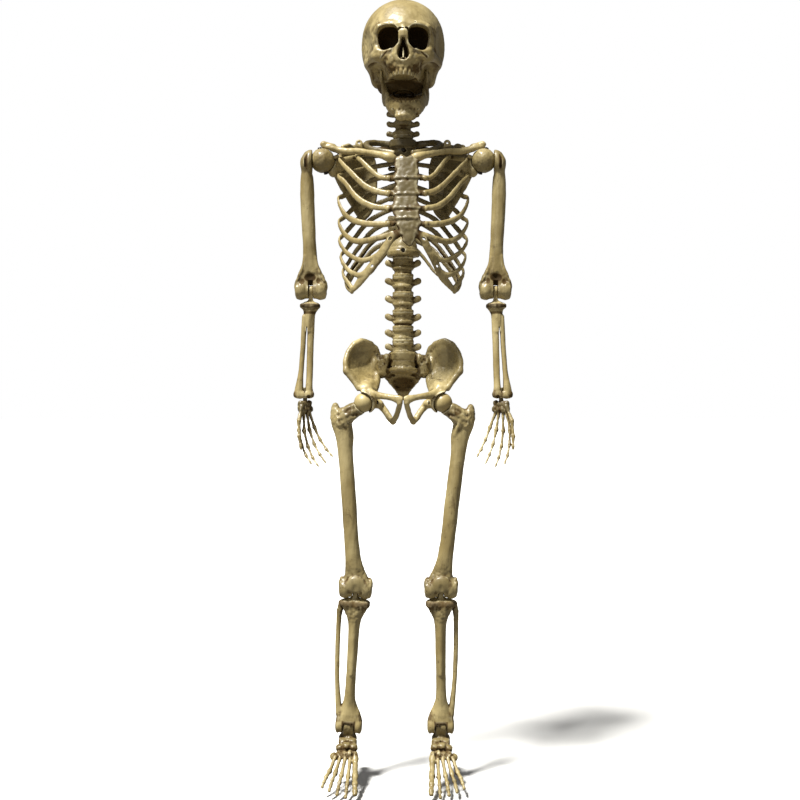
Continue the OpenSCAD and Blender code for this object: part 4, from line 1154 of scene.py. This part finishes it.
def sculpt_hand():
    clay = Clay((-46, -76, -158), (54, 14, 20), 0.95)
    clay.add(0, Drum((0, 0, 0), (0, 0, 1), 4, 16, 0.6))
    random = np.random.RandomState(8)
    # wrist bones in two rows
    for row, z in enumerate((-16, -26)):
        for i in range(4):
            x = (i - 1.5) * (7.5 + row * 1.2)
            clay.add(2.0, Egg((x, random.uniform(-1.5, 1.5), z + random.uniform(-1, 1)),
                              (5.2, 5.6, 6.4), (random.uniform(-20, 20), 0, random.uniform(-20, 20)), 2.4))
    for (base, knuckle), size in zip(FINGER_ROOTS, FINGER_SIZES):
        spread = knuckle * 0.45
        p = [np.array([base, 0, -29]), np.array([knuckle, -3, -29 - 36 * size]),
             np.array([knuckle + spread * 0.45, -14, -29 - 63 * size]),
             np.array([knuckle + spread * 0.7, -28, -29 - 83 * size]),
             np.array([knuckle + spread * 0.8, -43, -29 - 98 * size])]
        for i in range(4):
            a, b = p[i], p[i + 1]
            thin = 2.5 - 0.25 * i
            knob = 4.5 - 0.45 * i
            end = 1.6 if i == 3 else knob - 0.4
            m = a + (b - a) * 0.5
            clay.add(1.2, Sweep([[*a, knob, knob], [*(a + (b - a) * 0.22), thin + 0.6, thin + 0.6],
                                 [*m, thin, thin], [*(a + (b - a) * 0.8), thin + 0.3, thin + 0.3],
                                 [*b, end, end]], up=(0, 1, 0), n=2))
    thumb = [np.array(q, float) for q in ((12, -2, -20), (27, -10, -47), (33, -17, -76), (36, -25, -100))]
    for i in range(3):
        a, b = thumb[i], thumb[i + 1]
        knob, thin = 4.9 - 0.4 * i, 2.9 - 0.2 * i
        clay.add(1.2, Sweep([[*a, knob, knob], [*(a + (b - a) * 0.25), thin + 0.5, thin + 0.5],
                             [*(a + (b - a) * 0.5), thin, thin], [*(a + (b - a) * 0.8), thin + 0.6, thin + 0.6],
                             [*b, (knob - 0.6, 2.0)[i == 2], (knob - 0.6, 2.0)[i == 2]]], up=(0, 1, 0), n=2))
    clay.rough(0.5, 5, 81).rough(0.35, 2.6, 82)
    return clay


# ---------- waist and pelvis ----------

def sculpt_lumbar():
    x, y = WAIST[0], WAIST[1]
    clay = Clay((-44, 0, -404), (44, 92, -206), 1.15)
    top = WAIST[2] - 0.8
    clay.add(0, Drum((x, y, (top - 396) / 2), (0, 0, 1), 17, (top + 396) / 2, 1.5))
    for i, z in enumerate((-226, -261, -295, -330, -361, -388)):
        clay.add(1.5, Drum((x, y, z + 12.5), (0, 0, 1), 20.6, 2.6, 1.6))
        clay.add(2.5, Drum((x, y, z + 7), (0, 0, 1), 20, 3.4, 2.5), Drum((x, y, z - 9), (0, 0, 1), 20, 3.2, 2.5))
        clay.cut(0.8, Drum((x, y - 21, z + 4), (1, 0, 0), 1.6, 5, 0.5))
        for s in (LEFT, RIGHT):
            clay.add(3.5, Sweep([[s * 12, y + 2, z - 3, 5, 6.4], [s * 22, y + 2, z - 1, 5, 6.2],
                                 [s * 28, y + 3, z + 2, 5, 6.6], [s * 31, y + 3, z + 3, 4.4, 5.6]], n=3))
            clay.add(3, Egg((s * 9, y + 22, z), (6, 6, 12)))
        clay.add(4, Sweep([[x, y + 16, z - 2, 5, 7], [x, y + 32, z - 4, 3.5, 8], [x, y + 42, z - 6, 4.5, 8]], n=2))
    clay.rough(0.5, 9, 91).rough(0.4, 3.6, 92)
    return clay.slice(2, top, False)


def sculpt_sacrum():
    clay = Clay((-58, 4, -496), (58, 84, -392), 1.15)
    clay.add(0, Sweep([[0, 50, -398, 24, 15], [0, 52, -412, 38, 14], [0, 55, -434, 42, 12],
                       [0, 60, -452, 31, 9], [0, 63, -468, 17, 7], [0, 60, -486, 6, 4]], up=(0, 1, 0)))
    clay.both(4, lambda s: Egg((s * 39, 42, -424), (13, 15, 22), (0, s * 8, 0), 2.8))
    clay.both(3, lambda s: Egg((s * 31, 32, -410), (8, 9, 11)))
    clay.add(3, Drum((0, 37, -405), (0, 0, 1), 26.5, 9, 5), Drum((0, 36, -421), (0, 0.1, 1), 25, 7, 5))
    clay.add(3, Drum((0, 38, -433), (0, 0.15, 1), 30, 4.5, 4))
    clay.cut(6, Egg((0, 28, -458), (25, 22, 20)))
    for z, y, half in ((-446, 52, 17), (-457, 55, 13), (-467, 57, 9)):
        clay.add(2, stick((-half, y, z), (half, y, z), 1.8))
    for row, z in enumerate((-441, -452, -463)):
        clay.both(1.5, lambda s: Egg((s * (20 - row * 4), 44 + row * 5, z), (4.5, 6, 2.4)), "cut")
    clay.both(1.2, lambda s: Sweep([[s * 33, 22, -408, 1.0, 2.4], [s * 44, 25, -424, 0.9, 2.4], [s * 36, 26, -440, 1.0, 2.4]],
                                   up=(0, 1, 0), n=4), "cut")
    clay.add(4, Sweep([[0, 62, -402, 4, 5], [0, 70, -430, 4, 5], [0, 70, -455, 4, 4]], up=(0, 1, 0), n=2))
    clay.rough(1.1, 6, 95, lambda x, y, z: np.clip((np.abs(x) - 24) / 10, 0.2, 1)).rough(0.5, 3, 96)
    # painted shade in the bowl of the sacrum
    clay.stain_and_shade(0.42, 9, Egg((0, 44, -460), (34, 26, 22)))
    return clay.slice(2, -394.5, False)


# Outline of the hip bone's wing, from its front corner over the crest to the rear and down
WING = [(109, 2, -434), (110, 8, -415), (105, 17, -397), (94, 25, -382), (80, 33, -375), (64, 42, -379),
        (52, 50, -391), (47, 55, -406), (50, 50, -424), (50, 38, -446)]
WING_FRONT = [(95, -2, -451), (85, -5, -465), (76, -7, -474)]


def sculpt_hip_bone():
    clay = Clay((0, -62, -548), (124, 70, -366), 1.15)
    centre = (82, 33, -426)
    rim = [WING_FRONT[2], WING_FRONT[1], WING_FRONT[0]] + WING
    clay.add(0, Sheet([(centre, rim[i], rim[(i + 1) % len(rim)]) for i in range(len(rim))], 3.4))
    clay.add(7, Sweep([[*p, 3.4, 3.8] for p in WING[:-1]], n=4))
    clay.add(7, Sweep([[*p, 3.8, 4.4] for p in [WING[0]] + WING_FRONT], n=4))
    clay.add(5, Egg((55, 48, -424), (9, 11, 20)))
    clay.add(8, Egg((70, 2, -470), (15, 16, 15)), Egg((62, 16, -462), (10, 14, 14)))
    clay.add(6, Sweep([[49, 44, -440, 6, 8], [50, 26, -456, 6, 8], [55, 6, -470, 7, 8]], n=3))
    clay.add(5, Egg((50, 2, -496), (12, 10, 9)))
    # cup, branches to the front, and the slender V of the seat bone
    clay.add(3, Egg(HIP + np.array([-2, 0, 2]), (22.5, 23.5, 23.5)))
    clay.add(4, Sweep([[66, -6, -476, 9, 10], [52, -22, -480, 6, 8], [38, -33, -482, 5.2, 6],
                       [22, -41, -485, 5, 5.8], [10, -46, -488, 5, 8], [4.5, -48, -491, 4, 9]], n=4))
    clay.add(4, Sweep([[58, 10, -488, 8, 8], [44, 8, -499, 7, 6.6], [34.5, 3, -510, 6.2, 6],
                       [25, -3, -524, 6, 5.6], [19, -8, -530, 6, 5.4]], up=(0, 1, 0), n=4))
    clay.add(3, Sweep([[19, -8, -530, 5.6, 5.4], [13, -24, -519, 5, 5], [8.5, -38, -505, 5, 5],
                       [6, -46, -494, 5, 6]], up=(0, 1, 0), n=4))
    clay.cut(1.2, Egg(HIP, (19.3, 19.3, 19.3)))
    # painted shade in the cup round the ball
    clay.stain_and_shade(0.6, 2, Egg(HIP, (23, 22, 23)))
    clay.cut(3, Block(HIP + np.array([14, 0, -8]), (18, 40, 26), (0, 22, 0), 2))
    clay.cut(2.5, Egg(HIP + np.array([7, -17, -6]), (25, 23, 26)))
    clay.rough(0.5, 14, 101).rough(0.35, 4, 102)
    clay.rough(0.9, 5, 103, lambda x, y, z: np.clip((y - 36) / 8, 0, 1) * np.clip((62 - x) / 8, 0, 1))
    return clay.slice(0, 0.35, True)


# ---------- legs ----------

def sculpt_hip_ball():
    clay = Clay(HIP - 22, HIP + 22, 0.9)
    clay.add(0, Egg(HIP, (18.4, 18.4, 18.4)))
    clay.rough(0.12, 9, 105)
    return clay


def sculpt_femur():
    x, y, z = KNEE
    clay = Clay((36, -36, -874), (146, 34, -484), 1.3)
    clay.add(0, Sweep([[82, -4, -503, 13, 14], [92, -3, -509, 13, 15], [104, -2, -518, 14, 17],
                       [114, 0, -530, 15, 18]], n=4))
    clay.add(6, Sweep([[129, 4, -503, 6, 9], [127, 4, -513, 10, 12], [119, 2, -530, 18, 14], [109, 1, -556, 18, 14],
                       [105, 0, -590, 14.6, 13.5], [98.5, -3, -640, 14, 13], [91.5, -5, -695, 13.8, 12.6],
                       [86, -6, -745, 13.8, 12.6], [81, -6, -783, 14.6, 12.5], [77, -6, -806, 17, 12.5],
                       [74, -5, -822, 21, 13.5], [72.5, -5, -833, 27, 15]], up=(0, 1, 0)))
    # ridges that run along the neck
    for top, front in ((-500, -12), (-511, -15), (-522, -14)):
        clay.add(5, Sweep([[90, front, top, 2.4, 2.8], [103, front, top - 6, 2.8, 3.4],
                           [119, front + 2, top - 16, 2.8, 3.4]], n=3))
    clay.add(5, Egg((103, 8, -540), (7, 7, 8)))
    clay.add(4, Sweep([[112, -12, -524, 3, 3], [104, -13, -540, 3, 3], [98, -8, -556, 3, 3]], n=3))
    condyles(clay, KNEE, 31, 19, 5.5, 21, 3.5)
    clay.cut(5, Egg((x, y + 18, -850), (9, 9, 14)))
    clay.rough(0.5, (6, 6, 34), 111).rough(0.35, (3.2, 3.2, 14), 112)
    # rough neck and knee ends
    clay.rough(0.9, (4, 5, 5), 113, lambda x, y, z: np.clip((z + 560) / 22, 0, 1) * np.clip((x - 88) / 8, 0, 1))
    clay.rough(1.1, 4.2, 114, lambda x, y, z: np.clip((-796 - z) / 18, 0, 1) * np.clip((z + 850) / 14, 0, 1))
    clay.cut(1.0, Egg(HIP, (18.8, 18.8, 18.8)))
    clay.cut(0.6, Drum(KNEE, (1, 0, 0), 21.5, 5.5, 0.3))
    # the front of the slot is closed by the groove for the kneecap
    clay.add(5, Egg((x, y - 15.5, -838), (17, 5.4, 15)))
    clay.cut(4, Egg((x, y - 23, -848), (5, 4, 10)))
    clay.cut(2, Egg((x, y - 20, -862), (7, 14, 7)))
    # painted shade in the notch under the knee
    clay.stain_and_shade(0.8, 3, Egg((x, y - 4, -862), (7, 20, 8)))
    clay.stain_and_shade(0.3, 4, Egg((102, -6, -512), (12, 18, 14)))
    return clay


def sculpt_shin():
    x, y, z = KNEE
    clay = Clay((34, -26, -1130), (108, 30, -834), 1.2)
    link(clay, KNEE, 10, 4.8, -876, 14)
    clay.add(3, Egg((x - 14, -4, -876), (15, 17, 8), power=2.6), Egg((x + 13, -3, -876), (15, 16, 8), power=2.6))
    clay.add(4, Sweep([[71, -4, -878, 25, 14], [71, -4, -888, 21, 14], [71, -4, -902, 14.5, 13],
                       [71, -3, -925, 10.8, 11.5], [71.5, -1, -975, 10, 10.5], [72, 1, -1030, 9.4, 9.6],
                       [72.5, 3, -1058, 10.6, 10], [72.5, 5, -1074, 15, 11], [72, 5, -1088, 21, 12]], up=(0, 1, 0)))
    clay.add(6, Sweep([[71, -13, -896, 3, 3], [70.5, -11, -940, 2.6, 3], [71, -9, -1010, 2.4, 3]], up=(0, 1, 0), n=3))
    clay.add(2.5, Sweep([[97, 5, -878, 7, 7], [100, 6, -892, 6, 6], [101, 7, -915, 4.8, 4.8],
                         [100.5, 7, -975, 4.6, 4.6], [98, 7, -1030, 4.6, 4.6], [94, 6, -1066, 5.4, 5.4],
                         [91, 5, -1088, 6.4, 7]], up=(0, 1, 0)))
    clay.add(3, Drum(ANKLE, (1, 0, 0), 13.4, 24.2, 6), Egg(ANKLE + np.array([0, 0, 8]), (24.6, 12.5, 20), power=2.6))
    clay.both(2, lambda s: Egg(ANKLE + np.array([s * 21, 0, -3]), (4.4, 9, 12)))
    clay.rough(0.4, (6, 6, 30), 121).rough(0.3, (3, 3, 12), 122)
    clay.rough(1.1, 4, 123, lambda x, y, z: np.clip((z + 915) / 15, 0, 1) * np.clip((-876 - z) / 6, 0, 1))
    clay.cut(1.0, Drum(ANKLE, (1, 0, 0), 13.2, 11.6, 5))
    clay.cut(0.5, Block(ANKLE + np.array([0, 0, -14]), (11.6, 24, 16), edge=2))
    # painted shade inside the ankle's fork
    clay.stain_and_shade(0.9, 3, Drum(ANKLE, (1, 0, 0), 17, 14, 1), Block(ANKLE + np.array([0, 0, -12]), (14, 20, 16), edge=2))
    clay.cut(0.4, Drum(KNEE, (1, 0, 0), 3.2, 9, 0.1))
    return clay


def sculpt_foot():
    """In its own level frame: ankle pin at the origin, toes towards -Y, big toe towards -X."""
    clay = Clay((-34, -166, -60), (50, 52, 18), 1.1)
    clay.add(0, Drum((0, 0, 0), (1, 0, 0), 12, 10.8, 4))
    clay.add(3, Block((0, -1, -14), (10, 10, 12), edge=3))
    clay.add(4, Egg((0, -4, -25), (17, 18, 11)), Egg((3, 30, -33), (12, 15, 13)))
    clay.add(5, Sweep([[2, 10, -31, 13, 11], [1, -18, -31, 15, 10], [1, -40, -33, 18, 7]], n=3))
    random = np.random.RandomState(9)
    for x, y, z, r in ((-9, -20, -22, 9), (8, -19, -24, 9), (-12, -34, -24, 8), (1, -34, -22, 8), (13, -33, -27, 8)):
        clay.add(1.5, Egg((x, y, z), (r, r, 7), (random.uniform(-20, 20), 0, random.uniform(-20, 20)), 2.6))
    for i, x in enumerate((-16, -6, 4, 14)):
        clay.add(1.5, Egg((x, -49, -28 - abs(i - 1) * 1.6), (5.6, 8, 7), (0, 0, random.uniform(-15, 15)), 2.6))
    clay.add(2, Egg((24, -46, -37), (7, 9, 6)))
    for i in range(5):
        root_x, fan = -17 + i * 9.4, math.radians(-3 + i * 4.5)
        length = (90, 92, 86, 79, 70)[i]
        big = 1.75 if i == 0 else 1.0
        places = [(0, 0), (0.46, -8), (0.72, -6), (0.88, -9), (1.0, -12)]
        p = [np.array([root_x + length * t * math.sin(fan), -56 - length * t * math.cos(fan), -31 + dz])
             for t, dz in places]
        for j in range(4):
            if i == 0 and j == 2:
                p[4] = p[4] * 0.5 + p[3] * 0.5
            a, b = p[j], p[j + 1]
            knob = (4.8 - 0.4 * j) * (1.0 + (big - 1) * 0.55)
            thin = (3.4 - 0.2 * j) * (1.0 + (big - 1) * 0.7)
            clay.add(1.3, Sweep([[*a, knob, knob], [*(a + (b - a) * 0.3), thin, thin],
                                 [*(a + (b - a) * 0.7), thin, thin], [*b, knob * 0.92, knob * 0.92]], n=2))
    clay.rough(0.5, 5, 131).rough(0.45, 3, 132)
    clay.stain_and_shade(0.6, 5, Egg((0, -58, -40), (30, 14, 12)))
    clay.cut(0.3, Drum((0, 0, 0), (1, 0, 0), 3.2, 20, 0.1))
    return clay


# ---------- every bone, in its place ----------

def wing_tint(points):
    """Dark in the hollow of the wing, and brown low on its outer side."""
    x, _, z = points.T
    hollow = np.clip(1.25 - ((x - 84) / 25) ** 2 - ((z + 410) / 30) ** 2, 0, 1)
    corner = np.clip((x - 88) / 16, 0, 1) * np.clip((-424 - z) / 14, 0, 1)
    return np.maximum(0.55 * hollow, 0.4 * corner)


def ball_tint(points):
    # darker all over, with painted shade on the lower half
    return 0.3 + 0.3 * np.clip((SHOULDER[2] - points[:, 2]) / 20, 0, 1)


def upper_arm_tint(points):
    x, _, z = points.T
    head = 0.25 * np.clip((z + 60) / 30, 0, 1)
    return 0.2 + head + 0.25 * np.clip((-236 - z) / 14, 0, 1) * np.clip((z + 282) / 14, 0, 1)


def hand_tint(points):
    return np.clip((points[:, 2] + 40) / 12, 0.3, 1) * 0.85


def neck_tint(points):
    # painted shade: the neck darker all over, and most near the top under the skull
    return 0.45 + 0.35 * np.clip((points[:, 2] - 60) / 30, 0, 1)


def thigh_tint(points):
    x, _, z = points.T
    knee = np.clip((-790 - z) / 20, 0, 1) * np.clip((z + 856) / 10, 0, 1)
    neck = np.clip((114 - x) / 10, 0, 1) * np.clip((z + 535) / 15, 0, 1)
    return 0.26 + 0.26 * np.maximum(knee, neck)


def foot_tint(points):
    return 0.28 + 0.26 * np.clip((points[:, 1] + 62) / 20, 0, 1)


def shin_tint(points):
    z = points[:, 2]
    return 0.2 + 0.3 * np.clip((-878 - z) / 6, 0, 1) * np.clip((z + 915) / 14, 0, 1)


def leaned(side):
    """Leans the left leg's points, mirrored or not, outwards about the hip."""
    hip = HIP * np.array([side, 1, 1])
    return lambda points: turn_about(points, hip, (0, -side * THIGH_OUT[side], 0))


def foot_place(side):
    ankle = ANKLE * np.array([side, 1, 1])
    lean = leaned(side)
    return lambda points: lean(points @ turned((FOOT_DOWN, 0, 0)).T + ankle)


def hand_place(side):
    wrist = WRIST * np.array([side, 1, 1])
    return lambda points: points @ turned((0, 0, -side * HAND_TURN[side])).T + wrist


make_piece("neck", [sculpt_neck().cast()], "neck", ["neck_spine"], AGED,
           tint=neck_tint)
make_piece("ribcage", [sculpt_ribcage().cast()], "torso", ["ribcage_front", "ribcage_back"], AGED,
           tint=chest_tint)
make_piece("lumbar", [sculpt_lumbar().cast()], "pelvis", ["lumbar_spine"], AGED)
make_piece("sacrum_bone", [sculpt_sacrum().cast()], "pelvis", ["sacrum"], AGED)

PAIRS = [
    # piece, sculptor, body, CAD node, material, slot, tint, place
    ("shoulder_sphere", sculpt_shoulder_ball, "shoulder", "shoulder_ball", AGED, "aged_bone", ball_tint, None),
    ("blade", sculpt_shoulder_blade, "torso", "shoulder_blade", AGED, "aged_bone", blade_tint, None),
    ("upper_arm_bone", sculpt_humerus, "upper_arm", "humerus", AGED, "aged_bone", upper_arm_tint, None),
    ("forearm_bones", sculpt_forearm, "forearm", "forearm", AGED, "aged_bone", None, None),
    ("hand_bones", sculpt_hand, "hand", "hand", AGED, "aged_bone", hand_tint, hand_place),
    ("hip_wing", sculpt_hip_bone, "pelvis", "hip_bone", AGED, "aged_bone", wing_tint, None),
    ("hip_sphere", sculpt_hip_ball, "hip", "hip_ball", PLAIN, "plain_bone", None, None),
    ("thigh_bone", sculpt_femur, "thigh", "femur", AGED, "aged_bone", thigh_tint, leaned),
    ("shin_bones", sculpt_shin, "shin", "shin", AGED, "aged_bone", shin_tint, leaned),
    ("foot_bones", sculpt_foot, "foot", "foot", AGED, "aged_bone", foot_tint, foot_place),
]
for piece, sculptor, body, node, material, slot, tint, place in PAIRS:
    cast = sculptor().cast()
    for side, word in SIDES:
        on = body if body in ("torso", "pelvis") else f"{body}_{word}"
        make_piece(f"{piece}_{word}", [cast], on, [f"{node}_{word}"], material, side=side,
                   move=place(side) if place else None, tint=tint)

# CAD nodes that keep their own shape
for obj in bpy.context.scene.objects:
    if obj.type != "MESH" or obj.name not in frame["nodes"]:
        continue
    finish = STEEL if any(w in obj.name for w in ("pin", "screw", "bolt", "axle")) else AGED
    for slot in obj.material_slots:
        slot.material = finish


# ---------- stage, light and camera ----------

CAMERA_PLACE = (-0.006, -2.2, -0.489)
# Half the height that the camera sees at the hanging holes' distance
HALF_VIEW = 0.762


def aim(obj, target):
    direction = Vector(target) - obj.location
    obj.rotation_euler = direction.to_track_quat("-Z", "Y").to_euler()


def add_light(name, kind, place, target, power, color, size):
    light = bpy.data.lights.new(name, kind)
    light.energy = power
    light.color = color
    if kind == "AREA":
        light.shape = "DISK"
        light.size = size
    else:
        light.angle = size
    obj = bpy.data.objects.new(name, light)
    bpy.context.scene.collection.objects.link(obj)
    obj.location = place
    aim(obj, target)
    return obj


def build_floor():
    z = CAD_BOX[0][2] - 0.004
    reach = 40.0
    mesh = bpy.data.meshes.new("floor")
    corners = [(-reach, -reach, z), (reach, -reach, z), (reach, reach, z), (-reach, reach, z)]
    mesh.from_pydata(corners, [], [(0, 1, 2, 3)])
    floor = bpy.data.objects.new("floor", mesh)
    bpy.context.scene.collection.objects.link(floor)
    mat = bpy.data.materials.new("pale_floor")
    mat.use_nodes = True
    nodes, links = mat.node_tree.nodes, mat.node_tree.links
    noise = nodes.new("ShaderNodeTexNoise")
    noise.inputs["Scale"].default_value = 3.0
    ramp = nodes.new("ShaderNodeValToRGB")
    ramp.color_ramp.elements[0].color = (0.93, 0.93, 0.92, 1)
    ramp.color_ramp.elements[1].color = (0.96, 0.96, 0.95, 1)
    links.new(noise.outputs["Fac"], ramp.inputs["Fac"])
    # pale to the camera, and dim as a source of light on the figure
    path = nodes.new("ShaderNodeLightPath")
    seen = nodes.new("ShaderNodeMix")
    seen.data_type = "RGBA"
    seen.inputs[6].default_value = (0.16, 0.15, 0.13, 1)
    links.new(path.outputs["Is Camera Ray"], seen.inputs[0])
    links.new(ramp.outputs["Color"], seen.inputs[7])
    links.new(seen.outputs[2], nodes["Principled BSDF"].inputs["Base Color"])
    nodes["Principled BSDF"].inputs["Roughness"].default_value = 0.9
    mesh.materials.append(mat)


def build_world(ambient):
    """White to the camera, and a softer grey as light on the figure."""
    world = bpy.data.worlds.new("studio")
    world.use_nodes = True
    nodes, links = world.node_tree.nodes, world.node_tree.links
    path = nodes.new("ShaderNodeLightPath")
    strength = nodes.new("ShaderNodeMapRange")
    strength.inputs["To Min"].default_value = ambient
    strength.inputs["To Max"].default_value = 1.0
    links.new(path.outputs["Is Camera Ray"], strength.inputs["Value"])
    links.new(strength.outputs["Result"], nodes["Background"].inputs["Strength"])
    nodes["Background"].inputs["Color"].default_value = (1, 1, 1, 1)
    bpy.context.scene.world = world


build_floor()
build_world(0.13)
add_light("sun", "SUN", (-1.25, -1.25, 3.4), (0, 0, 0), 7.4, (1.0, 0.985, 0.94), math.radians(11))
add_light("fill", "AREA", (-1.2, -2.6, 0.2), (0, 0, -0.5), 6, (1.0, 0.98, 0.95), 1.6)

camera = bpy.data.objects.new("camera", bpy.data.cameras.new("camera"))
bpy.context.scene.collection.objects.link(camera)
bpy.context.scene.camera = camera
camera.location = CAMERA_PLACE
aim(camera, (CAMERA_PLACE[0], 0.0, CAMERA_PLACE[2]))
camera.data.angle = 2 * math.atan(HALF_VIEW / -CAMERA_PLACE[1])
camera.data.clip_end = 100.0
bpy.context.scene.view_settings.view_transform = "Standard"
